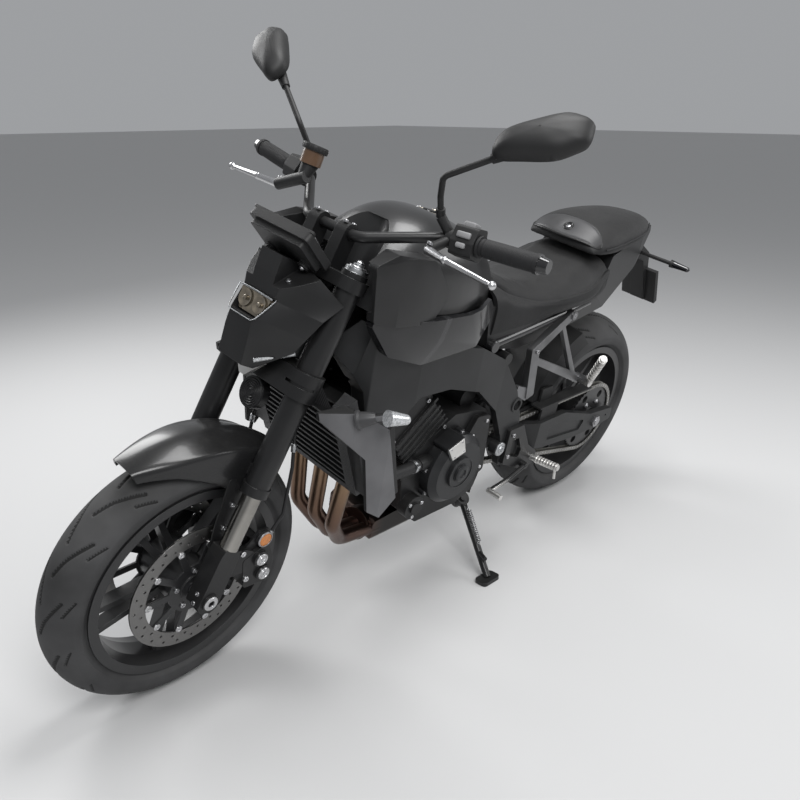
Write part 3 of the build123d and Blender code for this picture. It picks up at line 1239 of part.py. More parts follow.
# Assembly
def build():
    """Every node on the upright bike, in two groups: turning with the fork, and not."""
    leg, brake, head = fork_leg(), caliper(), mirror_head()
    turning = {
        "yokes": yokes(), "fork_left": leg, "fork_right": mirrored(leg), "front_axle": front_axle(),
        "handlebar": handlebar(), "controls_left": left_controls(), "controls_right": right_controls(),
        "mirror_left": head - left_controls(), "mirror_right": mirrored(head) - right_controls(),
        "dash": dash(), "lamp_cowl": lamp_cowl(), "lamps": lamps(), "front_fender": front_fender(),
        "caliper_left": brake, "caliper_right": mirrored(brake),
        "brake_lines": brake_lines() - brake - mirrored(brake) - yokes(),
        "front_rim": front_rim(), "front_tyre": front_tyre(),
    }
    spar, arm, peg = frame_spar(), swingarm_arm(), pillion_peg()
    cover, intake, panel = shroud(), duct(), side_panel()
    fixed = {
        "frame_left": spar, "frame_right": mirrored(spar), "steering_head": steering_head(),
        "engine": engine(), "generator_cover": generator_cover(), "clutch_cover": clutch_cover(),
        "radiator": radiator(), "shroud_left": cover, "shroud_right": mirrored(cover), "hoses": hoses(),
        "exhaust": exhaust(), "tank": tank(), "duct_left": intake, "duct_right": mirrored(intake),
        "side_panel_left": panel, "side_panel_right": mirrored(panel), "rider_seat": rider_seat(),
        "pillion_seat": pillion_seat(), "tail_cover": tail_cover(), "tail_lamp": tail_lamp(),
        "plate_bracket": plate_bracket(), "swingarm_left": arm, "swingarm_right": mirrored(arm),
        "swingarm_bridge": swingarm_bridge(), "shock": shock(), "rear_axle": rear_axle(),
        "chain": chain(), "rear_fender": rear_fender(), "rear_caliper": rear_caliper(),
        "foot_left": left_foot(), "foot_right": right_foot(), "pillion_peg_left": peg,
        "pillion_peg_right": mirrored(peg), "rear_rim": rear_rim(), "rear_tyre": rear_tyre(),
        "stand_bracket": stand_bracket_piece(), "stand_leg": stand_leg(),
    }
    return turning, fixed


def pitch():
    """The turn about Y that sets both tyres on level ground."""
    front_low, rear_low = FRONT_AXLE[2] - FRONT_RADIUS, REAR_AXLE[2] - REAR_RADIUS
    return math.degrees(math.atan2(front_low - rear_low, WHEELBASE))


def assemble():
    """Turn the fork, set the bike on its wheels, lean it and put the middle of its foot print on the origin."""
    turning, fixed = build()
    placed = {name: shape.rotate(steering_axis(), REST_STEER) for name, shape in turning.items()}
    placed.update(fixed)
    placed = {name: shape.rotate(Axis.Y, pitch()).rotate(Axis.X, -LEAN) for name, shape in placed.items()}
    boxes = [shape.bounding_box() for shape in placed.values()]
    low = [min(getattr(box.min, axis) for box in boxes) for axis in "XYZ"]
    high = [max(getattr(box.max, axis) for box in boxes) for axis in "XYZ"]
    shift = Pos(-(low[0] + high[0]) / 2, -(low[1] + high[1]) / 2, -low[2])
    return {name: shift * shape for name, shape in placed.items()}, shift


def main():
    """Write one file a node."""
    os.makedirs("parts", exist_ok=True)
    nodes, _ = assemble()
    for name, shape in nodes.items():
        export_step(shape, f"parts/{name}.step")


if __name__ == "__main__":
    main()
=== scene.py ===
"""Standard motorcycle: finishes, tread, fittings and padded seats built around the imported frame."""
import json
import math

import bmesh
import bpy
import numpy as np
from mathutils import Matrix, Vector


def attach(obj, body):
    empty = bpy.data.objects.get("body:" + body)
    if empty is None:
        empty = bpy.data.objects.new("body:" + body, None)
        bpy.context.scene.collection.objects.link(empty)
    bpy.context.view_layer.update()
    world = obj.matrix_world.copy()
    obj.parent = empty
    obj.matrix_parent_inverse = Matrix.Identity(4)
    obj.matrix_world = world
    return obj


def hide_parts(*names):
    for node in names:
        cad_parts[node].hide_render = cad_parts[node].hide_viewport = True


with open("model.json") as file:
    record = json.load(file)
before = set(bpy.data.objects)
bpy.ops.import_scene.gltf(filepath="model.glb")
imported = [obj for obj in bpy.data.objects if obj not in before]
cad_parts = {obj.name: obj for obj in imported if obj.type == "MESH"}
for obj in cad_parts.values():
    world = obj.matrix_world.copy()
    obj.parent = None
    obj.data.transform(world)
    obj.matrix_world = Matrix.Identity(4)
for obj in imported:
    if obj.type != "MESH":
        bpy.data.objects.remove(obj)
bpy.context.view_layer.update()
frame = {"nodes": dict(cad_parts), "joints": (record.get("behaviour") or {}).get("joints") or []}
nodes = frame["nodes"]
joints = {joint["name"]: joint for joint in frame["joints"]}

# The bike's own frames, in metres, as in the model's source
LEAN = math.radians(11.9)
REST_STEER = math.radians(2.2)
RAKE = math.radians(24.67)
WHEELBASE = 1.43
FRONT_RADIUS = 0.3
REAR_RADIUS = 0.315
FORK_OFFSET = 0.0271
HEAD_S = 0.61
FORK_Y = 0.105

rear_place = Vector(joints["rear_spin"]["pos_m"])
LEANED = Matrix.Rotation(-LEAN, 4, "X")
BIKE = Matrix.Translation(rear_place - LEANED @ Vector((0, 0, REAR_RADIUS))) @ LEANED
FORK_TURN = Matrix.Rotation(-RAKE, 4, "Y")
FORK_UPRIGHT = Matrix.Translation((WHEELBASE, 0, FRONT_RADIUS)) @ FORK_TURN
STEM = FORK_UPRIGHT @ Vector((-FORK_OFFSET, 0, 0))
STEM_AXIS = FORK_TURN @ Vector((0, 0, 1))
STEERED = Matrix.Translation(STEM) @ Matrix.Rotation(REST_STEER, 4, STEM_AXIS) @ Matrix.Translation(-STEM)
FORK = BIKE @ STEERED @ FORK_UPRIGHT
HEAD = FORK @ Matrix.Translation((0, 0, HEAD_S))
FRONT_HUB = BIKE @ STEERED @ Matrix.Translation((WHEELBASE, 0, FRONT_RADIUS))
REAR_HUB = BIKE @ Matrix.Translation((0, 0, REAR_RADIUS))
LEFT, RIGHT = Vector((0, 1, 0)), Vector((0, -1, 0))
FORWARD, UP = Vector((1, 0, 0)), Vector((0, 0, 1))


# Material helpers
EDGE_RADIUS = 0.0014
DUST = (0.2, 0.195, 0.18)
# How far edges are lightened, partly as wear and partly as a painted highlight
EDGE_WEAR_AND_HIGHLIGHT = 0.35
DISC_EDGE = 0.152
FIN_PITCH = 0.0022


def fresh(name):
    """A new material with its node tree and shader."""
    mat = bpy.data.materials.new(name)
    mat.use_nodes = True
    return mat, mat.node_tree, mat.node_tree.nodes["Principled BSDF"]


def feed(tree, node, values):
    """Give each named or numbered input of a node a socket or a plain value."""
    for key, value in values.items():
        if isinstance(value, bpy.types.NodeSocket):
            tree.links.new(value, node.inputs[key])
        else:
            node.inputs[key].default_value = value


def added(tree, kind, values, **settings):
    """A new node of this kind, with its settings and its inputs fed."""
    node = tree.nodes.new("ShaderNode" + kind)
    for key, value in settings.items():
        setattr(node, key, value)
    feed(tree, node, values)
    return node


def place_on(tree):
    """The place on the object, in its own space."""
    return added(tree, "TexCoord", {}).outputs["Object"]


def ramp(tree, source, *stops):
    """A colour that follows a value through stops of (level, colour)."""
    node = added(tree, "ValToRGB", {"Fac": source})
    elements = node.color_ramp.elements
    while len(elements) < len(stops):
        elements.new(0.5)
    for element, (level, colour) in zip(elements, stops):
        element.position = level
        element.color = (*colour, 1)
    return node.outputs["Color"]


def noise(tree, scale, detail=4.0, stretch=(1, 1, 1)):
    """A noise value in the object's own space."""
    place = added(tree, "Mapping", {"Vector": place_on(tree), "Scale": stretch}).outputs["Vector"]
    return added(tree, "TexNoise", {"Vector": place, "Scale": scale, "Detail": detail}).outputs["Fac"]


def cells(tree, scale, feature="F1"):
    """A value from close cells in the object's own space."""
    values = {"Vector": place_on(tree), "Scale": scale}
    return added(tree, "TexVoronoi", values, feature=feature).outputs["Distance"]


def number(tree, operation, *values):
    """One step of arithmetic."""
    return added(tree, "Math", dict(enumerate(values)), operation=operation).outputs["Value"]


def vector(tree, operation, *values):
    """The outputs of one step of vector arithmetic."""
    return added(tree, "VectorMath", dict(enumerate(values)), operation=operation).outputs


def offset_from(tree, origin):
    """The place on the object, counted from a point."""
    return vector(tree, "SUBTRACT", place_on(tree), tuple(origin))["Vector"]


def along_axis(tree, origin, axis):
    """The distance along an axis, in metres."""
    return vector(tree, "DOT_PRODUCT", offset_from(tree, origin), tuple(axis))["Value"]


def round_axis(tree, origin, axis):
    """The distance from an axis, in metres."""
    across = vector(tree, "CROSS_PRODUCT", offset_from(tree, origin), tuple(axis))["Vector"]
    return vector(tree, "LENGTH", across)["Value"]


def spread(tree, source, low, high, start=0.0, end=1.0):
    """A value carried from one range to another."""
    values = {"Value": source, "From Min": start, "From Max": end, "To Min": low, "To Max": high}
    return added(tree, "MapRange", values).outputs["Result"]


def mixed(tree, share, *colours):
    """Two colours mixed by a share."""
    first, second = [c if isinstance(c, bpy.types.NodeSocket) else (*c, 1) for c in colours]
    return added(tree, "Mix", {"Factor": share, 6: first, 7: second}, data_type="RGBA").outputs[2]


def bump(tree, shader, source, strength, distance, edge=None):
    """Relief from a value, over rounded edges where they are given."""
    node = added(tree, "Bump", {"Height": source, "Strength": strength, "Distance": distance})
    if edge:
        feed(tree, node, {"Normal": edge})
    feed(tree, shader, {"Normal": node.outputs["Normal"]})


def rounded_edges(tree):
    """Softened edges, and a mask of where they are."""
    soft = added(tree, "Bevel", {"Radius": EDGE_RADIUS}, samples=4).outputs["Normal"]
    flat = added(tree, "NewGeometry", {}).outputs["Normal"]
    facing = vector(tree, "DOT_PRODUCT", soft, flat)["Value"]
    return soft, spread(tree, facing, 1.0, 0.0, 0.86, 0.99)


def dusted(tree, colour, amount):
    """A little pale dust on faces that look up."""
    normal = added(tree, "NewGeometry", {}).outputs["Normal"]
    upward = spread(tree, added(tree, "SeparateXYZ", {"Vector": normal}).outputs["Z"], 0.0, amount, 0.2, 1.0)
    return mixed(tree, number(tree, "MULTIPLY", upward, noise(tree, 30.0, 6.0)), colour, DUST)


def finish_of(name, colour, rough, metal=0.0, grain=900.0, relief=0.08, depth=0.0002, vary=0.25, coat=0.0,
              stretch=(1, 1, 1), dust=0.06, edges=True, gloss=0.38):
    """A painted, moulded or metal finish with fine grain, changes of tone, dust, and edges lightened partly
    as wear and partly as a painted highlight.
    """
    mat, tree, shader = fresh(name)
    dark = [c * (1 - vary) for c in colour]
    light = [min(1.0, c * (1 + vary)) for c in colour]
    tone = ramp(tree, noise(tree, 9.0, 3.0), (0.3, dark), (0.7, light))
    normal = None
    if edges:
        normal, mask = rounded_edges(tree)
        # Edges lightened: partly wear, partly a painted highlight
        rubbed_and_highlit = number(tree, "MULTIPLY", mask, spread(tree, noise(tree, 60.0), 0.2 * EDGE_WEAR_AND_HIGHLIGHT, EDGE_WEAR_AND_HIGHLIGHT))
        tone = mixed(tree, rubbed_and_highlit, tone, [min(1.0, c * 1.7 + 0.04) for c in colour])
    if dust:
        tone = dusted(tree, tone, dust)
    fine = noise(tree, grain, 2.0, stretch)
    feed(tree, shader, {"Base Color": tone, "Roughness": spread(tree, fine, rough - 0.05, rough + 0.05),
                        "Metallic": metal, "Specular IOR Level": gloss})
    if coat:
        feed(tree, shader, {"Coat Weight": coat, "Coat Roughness": 0.06})
    bump(tree, shader, fine, relief, depth, normal)
    return mat


def lens_of(name, colour, clear=0.85, rough=0.05, metal=0.0, facet=220.0):
    """A moulded lens, clear or with its reflector showing through."""
    mat, tree, shader = fresh(name)
    near = cells(tree, facet)
    tone = ramp(tree, near, (0.1, colour), (0.8, [c * 0.55 for c in colour]))
    feed(tree, shader, {"Base Color": tone, "Roughness": spread(tree, near, rough, rough + 0.08), "IOR": 1.49,
                        "Transmission Weight": clear, "Metallic": metal, "Coat Weight": 0.8,
                        "Coat Roughness": 0.04})
    bump(tree, shader, near, 0.35, 0.0008)
    return mat


def wheel_finish(name, hub, inner, face, both_sides):
    """Satin black castings with bare steel on the swept band of the brake discs."""
    mat, tree, shader = fresh(name)
    axis = hub.to_3x3() @ LEFT
    radius = round_axis(tree, hub.translation, axis)
    side = number(tree, "MULTIPLY", along_axis(tree, hub.translation, axis), math.copysign(1, face))
    if both_sides:
        side = number(tree, "ABSOLUTE", side)
    past = number(tree, "GREATER_THAN", radius, inner)
    band = number(tree, "MULTIPLY", past, number(tree, "LESS_THAN", radius, DISC_EDGE))
    mask = number(tree, "MULTIPLY", band, number(tree, "GREATER_THAN", side, abs(face)))
    spun = added(tree, "CombineXYZ", {"X": number(tree, "MULTIPLY", radius, 1400.0)}).outputs["Vector"]
    lines = added(tree, "TexNoise", {"Vector": spun, "Scale": 1.0}).outputs["Fac"]
    steel = ramp(tree, lines, (0.3, (0.15, 0.148, 0.145)), (0.7, (0.3, 0.295, 0.29)))
    black = ramp(tree, noise(tree, 1.0, 3.0), (0.3, (0.012, 0.012, 0.013)), (0.7, (0.022, 0.022, 0.023)))
    normal, edge = rounded_edges(tree)
    # The castings' edges lightened: partly wear, partly a painted highlight
    black = mixed(tree, number(tree, "MULTIPLY", edge, EDGE_WEAR_AND_HIGHLIGHT), black, (0.09, 0.09, 0.095))
    feed(tree, shader, {"Base Color": mixed(tree, mask, dusted(tree, black, 0.08), steel), "Metallic": mask,
                        "Roughness": spread(tree, lines, 0.26, 0.4)})
    bump(tree, shader, noise(tree, 900.0, 2.0), 0.06, 0.0002, normal)
    return mat


def heat_finish():
    """Stainless headers tinted gold, brown and purple by heat, dull grey at the box below."""
    mat, tree, shader = fresh("heat_tinted_steel")
    height = along_axis(tree, BIKE.translation, BIKE.to_3x3() @ UP)
    level = spread(tree, height, 0.0, 1.0, 0.12, 0.58)
    level = number(tree, "ADD", level, spread(tree, noise(tree, 14.0, 3.0), -0.12, 0.12))
    tint = ramp(tree, level, (0.0, (0.08, 0.062, 0.055)), (0.2, (0.12, 0.08, 0.068)),
                (0.45, (0.18, 0.115, 0.085)), (0.7, (0.28, 0.19, 0.12)), (1.0, (0.34, 0.26, 0.17)))
    ahead = along_axis(tree, BIKE.translation, BIKE.to_3x3() @ FORWARD)
    box = spread(tree, ahead, 1.0, 0.0, 0.84, 0.9)
    fine = noise(tree, 260.0, 3.0)
    feed(tree, shader, {"Base Color": mixed(tree, box, tint, (0.055, 0.052, 0.05)), "Metallic": 1.0,
                        "Roughness": spread(tree, fine, 0.24, 0.46)})
    bump(tree, shader, fine, 0.08, 0.0003, rounded_edges(tree)[0])
    return mat


def striped_gloss():
    """Gloss black with one faint lighter slanting stripe."""
    mat, tree, shader = fresh("gloss_black")
    axis = (BIKE.to_3x3() @ Vector((0.93, 0, 0.36))).normalized()
    ahead = along_axis(tree, BIKE @ Vector((0.9, 0.17, 0.81)), axis)
    near = number(tree, "LESS_THAN", number(tree, "ABSOLUTE", ahead), 0.009)
    broad = ramp(tree, noise(tree, 12.0), (0.3, (0.007, 0.007, 0.008)), (0.7, (0.012, 0.012, 0.013)))
    fine = noise(tree, 700.0, 2.0)
    feed(tree, shader, {"Base Color": mixed(tree, near, broad, (0.03, 0.03, 0.032)), "Coat Weight": 0.2,
                        "Roughness": spread(tree, fine, 0.1, 0.2), "Specular IOR Level": 0.3,
                        "Coat Roughness": 0.05})
    bump(tree, shader, fine, 0.01, 0.0001, rounded_edges(tree)[0])
    return mat


def finned_core():
    """The radiator's core: fine upright fins, with painted shade in the darker rows between them."""
    mat, tree, shader = fresh("radiator_core")
    across = along_axis(tree, BIKE.translation, BIKE.to_3x3() @ LEFT)
    fins = number(tree, "SINE", number(tree, "MULTIPLY", across, 2 * math.pi / FIN_PITCH))
    level = spread(tree, fins, 0.0, 1.0, -1.0, 1.0)
    # The darker rows are painted shade in the gaps between the fins
    tone = ramp(tree, level, (0.2, (0.012, 0.012, 0.013)), (0.9, (0.05, 0.05, 0.052)))
    feed(tree, shader, {"Base Color": tone, "Metallic": 0.5,
                        "Roughness": spread(tree, noise(tree, 300.0), 0.4, 0.6)})
    bump(tree, shader, level, 0.4, 0.0008)
    return mat


def seat_cover():
    """Fine grained seat vinyl with a close pebble."""
    mat, tree, shader = fresh("seat_leather")
    tone = ramp(tree, noise(tree, 7.0), (0.3, (0.01, 0.01, 0.0105)), (0.7, (0.016, 0.016, 0.0165)))
    feed(tree, shader, {"Base Color": dusted(tree, tone, 0.05), "Sheen Weight": 0.03,
                        "Specular IOR Level": 0.3, "Roughness": spread(tree, noise(tree, 90.0), 0.52, 0.68)})
    bump(tree, shader, cells(tree, 520.0, "DISTANCE_TO_EDGE"), 0.5, 0.0006)
    return mat


# Finishes
MATT = finish_of("matt_black", (0.012, 0.012, 0.0125), 0.38, grain=1400, relief=0.05, dust=0.03)
TANK = finish_of("matt_tank", (0.013, 0.013, 0.0135), 0.32, grain=1800, relief=0.03, coat=0.15, dust=0.03,
                 gloss=0.5)
SATIN = finish_of("satin_black", (0.01, 0.01, 0.0105), 0.34, grain=1100, relief=0.06)
CAST = finish_of("cast_frame", (0.017, 0.0174, 0.0182), 0.42, metal=0.2, grain=700, relief=0.2, depth=0.0004)
ENGINE = finish_of("engine_black", (0.013, 0.013, 0.0135), 0.42, metal=0.25, grain=600, relief=0.25,
                   depth=0.0004)
COVER = finish_of("cover_grey", (0.022, 0.0225, 0.024), 0.36, metal=0.4, grain=800, relief=0.15)
SHROUD = finish_of("shroud_grey", (0.115, 0.115, 0.12), 0.44, metal=0.2, grain=1500, relief=0.05)
PLASTIC = finish_of("grained_plastic", (0.013, 0.013, 0.0135), 0.54, grain=1000, relief=0.3, depth=0.0003)
RUBBER = finish_of("tyre_rubber", (0.04, 0.04, 0.041), 0.74, grain=500, relief=0.22, depth=0.0003, vary=0.35,
                   dust=0.16, edges=False)
GROOVE = finish_of("groove_rubber", (0.012, 0.012, 0.012), 0.8, grain=500, relief=0.2, dust=0.05, edges=False)
HOSE = finish_of("hose_rubber", (0.014, 0.014, 0.015), 0.55, grain=800, relief=0.15, edges=False)
GRIP = finish_of("grip_rubber", (0.014, 0.014, 0.015), 0.68, relief=0.3, depth=0.0003, edges=False)
STEEL = finish_of("steel", (0.4, 0.4, 0.41), 0.32, metal=1, stretch=(1, 8, 1), dust=0)
CHAIN = finish_of("chain_steel", (0.24, 0.235, 0.22), 0.42, metal=1, grain=500, relief=0.15, vary=0.5,
                  dust=0.1)
SILVER = finish_of("silver_alloy", (0.62, 0.62, 0.63), 0.28, metal=1, grain=1200, relief=0.05, dust=0)
ALLOY = finish_of("dull_alloy", (0.42, 0.43, 0.44), 0.4, metal=1, relief=0.12, dust=0)
PALE = finish_of("pale_alloy", (0.72, 0.71, 0.69), 0.34, metal=0.9, grain=1100, relief=0.06, dust=0)
GOLD = finish_of("pale_gold", (0.56, 0.51, 0.43), 0.26, metal=1, grain=1000, relief=0.05, dust=0)
STANCHION = finish_of("stanchion_grey", (0.3, 0.29, 0.27), 0.22, metal=1, grain=700, relief=0.03, edges=False)
ARM_GREY = finish_of("arm_grey", (0.2, 0.2, 0.205), 0.36, metal=0.9, relief=0.12)
GREY = finish_of("switch_grey", (0.22, 0.22, 0.225), 0.5, grain=1200, relief=0.1, dust=0)
GREY_PANEL = finish_of("panel_grey", (0.045, 0.045, 0.047), 0.4, grain=1200)
FENDER_PAINT = finish_of("fender_paint", (0.012, 0.012, 0.0125), 0.28, grain=1600, relief=0.02, coat=0.15)
GLOSS_BAR = finish_of("gloss_bar_end", (0.012, 0.012, 0.013), 0.16, grain=600, relief=0.02, coat=0.6)
BROWN = finish_of("fluid_brown", (0.1, 0.055, 0.03), 0.3, grain=700, relief=0.05, coat=0.4)
SMOKE = finish_of("smoked_screen", (0.006, 0.006, 0.008), 0.1, grain=400, relief=0.01, coat=0.9, edges=False)
GLASS = finish_of("mirror_glass", (0.75, 0.77, 0.79), 0.06, metal=1, grain=300, relief=0.01, dust=0,
                  edges=False)
KILL = finish_of("red_switch", (0.42, 0.02, 0.015), 0.4, grain=1000, dust=0)
GLOSS = striped_gloss()
BRONZE = heat_finish()
LEATHER = seat_cover()
CORE = finned_core()
FRONT_WHEEL = wheel_finish("front_wheel_black", FRONT_HUB, 0.113, 0.058, True)
REAR_WHEEL = wheel_finish("rear_wheel_black", REAR_HUB, 0.09, -0.078, False)
CLEAR = lens_of("clear_lens", (0.86, 0.88, 0.9), clear=0.35, metal=0.25)
REFLECTOR = lens_of("lamp_reflector", (0.34, 0.29, 0.22), clear=0.0, rough=0.12, metal=0.75, facet=70.0)
RED = lens_of("red_lens", (0.4, 0.01, 0.01), clear=0.4)
AMBER = lens_of("amber_lens", (0.88, 0.27, 0.015), clear=0.15, facet=420.0)

NODE_FINISH = {
    "front_axle": STEEL, "lamps": REFLECTOR, "front_rim": FRONT_WHEEL, "rear_rim": REAR_WHEEL,
    "engine": ENGINE, "generator_cover": COVER, "clutch_cover": COVER, "radiator": CORE, "exhaust": BRONZE,
    "tank": TANK, "side_panel_left": GLOSS, "side_panel_right": GLOSS, "tail_lamp": RED, "rear_axle": STEEL,
    "chain": CHAIN, "rider_seat": LEATHER, "pillion_seat": LEATHER, "front_tyre": RUBBER, "rear_tyre": RUBBER,
    "brake_lines": HOSE, "hoses": HOSE,
}
for name in ("lamp_cowl", "front_fender", "duct_left", "duct_right", "tail_cover"):
    NODE_FINISH[name] = MATT
for name in ("frame_left", "frame_right", "steering_head", "swingarm_left", "swingarm_right",
             "swingarm_bridge"):
    NODE_FINISH[name] = CAST
for name in ("controls_left", "controls_right", "mirror_left", "mirror_right", "dash", "plate_bracket",
             "rear_fender"):
    NODE_FINISH[name] = PLASTIC
for name, obj in nodes.items():
    obj.data.materials.clear()
    obj.data.materials.append(NODE_FINISH.get(name, SATIN))


def paint(node, finishes, choose, base=BIKE):
    """Give a node's faces several finishes, chosen by each face's place and direction in a frame."""
    mesh = nodes[node].data
    mesh.materials.clear()
    for finish in finishes:
        mesh.materials.append(finish)
    back = base.inverted()
    turn = back.to_3x3()
    for face in mesh.polygons:
        face.material_index = choose(back @ face.center, turn @ face.normal)


def near_path(place, path, reach):
    """Whether a place lies within reach of a path of points."""
    for start, end in zip(path, path[1:]):
        start, end = Vector(start), Vector(end)
        run = end - start
        share = max(0.0, min(1.0, (place - start).dot(run) / run.length_squared))
        if (place - start - run * share).length < reach:
            return True
    return False


# Shape helpers
class Shape:
    """Points and faces gathered for one piece, each face with the number of its finish."""

    def __init__(self):
        self.points = []
        self.faces = []
        self.finishes = []

    def add(self, part, place=None, finish=0):
        """Add a part at a place."""
        points, faces = part
        start = len(self.points)
        for point in points:
            self.points.append(place @ Vector(point) if place else Vector(point))
        for face in faces:
            self.faces.append([start + corner for corner in face])
            self.finishes.append(finish)
        return self


def around(count):
    """Even turns round a circle."""
    return [2 * math.pi * step / count for step in range(count)]


def turned(profile, count=24):
    """A profile of (radius, height) turned about Z. A radius of nothing closes an end."""
    points, rings, faces = [], [], []
    for radius, height in profile:
        size = count if radius else 1
        rings.append([len(points) + step for step in range(size)])
        points += [(radius * math.cos(turn), radius * math.sin(turn), height) for turn in around(size)]
    for low, high in zip(rings, rings[1:]):
        for step in range(count):
            after = (step + 1) % count
            pairs = ((low, step), (low, after), (high, after), (high, step))
            faces.append(list(dict.fromkeys(loop[turn % len(loop)] for loop, turn in pairs)))
    return points, faces


def sized(shares, radius, high, count):
    """A turned part whose profile is given in shares of its radius and height."""
    return turned([(radius * across, high * up) for across, up in shares], count)


def ring(inner, outer, high, chamfer, count=32):
    """A flat ring with a chamfered outer edge."""
    edge = [(outer, 0), (outer, high - chamfer), (outer - chamfer, high)]
    return turned([(inner, 0), *edge, (inner, high), (inner, 0)], count)


def stacked(loops, capped=True):
    """A skin over a row of closed loops with the same count of points."""
    count = len(loops[0])
    points = [point for loop in loops for point in loop]
    faces = []
    for low in range(0, len(points) - count, count):
        high = low + count
        for step in range(count):
            after = (step + 1) % count
            faces.append([low + step, low + after, high + after, high + step])
    if capped:
        faces.append(list(range(count - 1, -1, -1)))
        faces.append(list(range(len(points) - count, len(points))))
    return points, faces


def tube(path, radius, count=10, flat=1.0):
    """A bar along a path of points, with closed ends."""
    path = [Vector(point) for point in path]
    side = (path[1] - path[0]).orthogonal().normalized()
    last = len(path) - 1
    loops = []
    for index, point in enumerate(path):
        ahead = (path[min(index + 1, last)] - path[max(index - 1, 0)]).normalized()
        side = (side - ahead * side.dot(ahead)).normalized()
        wide, tall = side * radius, ahead.cross(side) * radius * flat
        loops.append([point + wide * math.cos(turn) + tall * math.sin(turn) for turn in around(count)])
    return stacked(loops)


def slab(outline, low, high, chamfer):
    """A flat plate with this outline in X and Y, its top edge drawn in by a chamfer."""
    outline = [Vector(point) for point in outline]
    middle = sum(outline, Vector((0, 0))) / len(outline)
    reach = max((point - middle).length for point in outline)
    loops = []
    for share, height in ((1.0, low), (1.0, high - chamfer), (1.0 - chamfer / reach, high)):
        loops.append([(*(middle + (point - middle) * share), height) for point in outline])
    return stacked(loops)


def rounded(size, edge):
    """A block with rounded edges, centred."""
    mesh = bmesh.new()
    bmesh.ops.create_cube(mesh, size=1.0, matrix=Matrix.Diagonal((*size, 1)))
    bmesh.ops.bevel(mesh, geom=mesh.edges[:], offset=edge, segments=3, affect="EDGES", profile=0.5)
    mesh.verts.index_update()
    part = [v.co.copy() for v in mesh.verts], [[v.index for v in f.verts] for f in mesh.faces]
    mesh.free()
    return part


SCREW = ((0, -0.2), (1, -0.2), (1, 0.55), (0.86, 0.72), (0.55, 0.72), (0.48, 0.25), (0, 0.25))
NUT = ((0, 0), (1, 0), (1, 0.8), (0.86, 1), (0, 1))
BOLT_END = ((0.55, 0.9), (0.55, 1.35), (0.42, 1.5), (0, 1.5))


def screw(radius):
    """A cap screw's head with its socket."""
    return sized(SCREW, radius, radius, 14)


def nut(radius, high):
    """A six-sided nut with its chamfer and the bolt's end."""
    shape = Shape().add(sized(NUT, radius, high, 6)).add(sized(BOLT_END, radius, high, 14))
    return shape.points, shape.faces


def at(*place):
    """A place without a turn."""
    return Matrix.Translation(place)


def sided(point, side):
    """A place or direction given for the left, or its twin on the right."""
    return Vector((point[0], side * point[1], point[2]))


def aim(place, axis):
    """A place whose Z points along an axis."""
    facing = Vector(axis).to_track_quat("Z", "Y").to_matrix().to_4x4()
    return Matrix.Translation(place) @ facing


def plane_at(origin, x_dir, z_dir):
    """A place from its origin, X direction and Z direction."""
    z = Vector(z_dir).normalized()
    x = Vector(x_dir)
    x = (x - z * x.dot(z)).normalized()
    y = z.cross(x)
    place = Matrix((x, y, z)).transposed().to_4x4()
    place.translation = origin
    return place


def piece(name, shape, finishes, body, base=BIKE, sharp=38):
    """Make a piece from a shape, riding on a body."""
    mesh = bpy.data.meshes.new(name)
    mesh.from_pydata([base @ Vector(point) for point in shape.points], [], shape.faces)
    for finish in finishes:
        mesh.materials.append(finish)
    mesh.polygons.foreach_set("material_index", shape.finishes)
    tidy = bmesh.new()
    tidy.from_mesh(mesh)
    bmesh.ops.remove_doubles(tidy, verts=tidy.verts, dist=1e-6)
    bmesh.ops.recalc_face_normals(tidy, faces=tidy.faces)
    tidy.to_mesh(mesh)
    tidy.free()
    mesh.shade_smooth()
    mesh.set_sharp_from_angle(angle=math.radians(sharp))
    obj = bpy.data.objects.new(name, mesh)
    bpy.context.collection.objects.link(obj)
    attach(obj, body)
    return obj


def smooth_line(points, steps, closed=False):
    """A smooth line through points, each stretch cut into steps."""
    points = [Vector(point) for point in points]
    if closed:
        spaced = [points[-1]] + points + points[:2]
    else:
        spaced = points[:1] + points + points[-1:]
    line = []
    for a, b, c, d in zip(spaced, spaced[1:], spaced[2:], spaced[3:]):
        square, cube = 2 * a - 5 * b + 4 * c - d, 3 * b - a - 3 * c + d
        for step in range(steps):
            t = step / steps
            line.append((2 * b + (c - a) * t + square * t**2 + cube * t**3) / 2)
    if not closed:
        line.append(points[-1])
    return line


def smooth_copy(node, body, finish, angle):
    """A node's own shape with its small facets shaded as one smooth skin."""
    mesh = nodes[node].data
    shape = Shape().add(([v.co for v in mesh.vertices], [list(face.vertices) for face in mesh.polygons]))
    obj = piece(node + "_skin", shape, [finish], body, Matrix.Identity(4), angle)
    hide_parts(node)


def screws(name, rows, radius, finish, body, base=BIKE):
    """Socket screws at places, each with its axis."""
    shape = Shape()
    for place, axis in rows:
        shape.add(screw(radius), aim(place, axis))
    return piece(name, shape, [finish], body, base)


# Wheels
GROOVE_DEPTH = 0.0036
GROOVE_EDGE = 0.0016
BEAD_RADIUS = 0.2163
BEAD_INSET = 0.0053
LIP_RADIUS = 0.234
TREAD_ROWS = 66
TREAD_STEPS = 960
# The wall above the lip: a share of its height, and how far it stands in from the half width
WALL = ((0.18, 0.0085), (0.22, 0.0062), (0.35, 0.004), (0.72, 0.001))


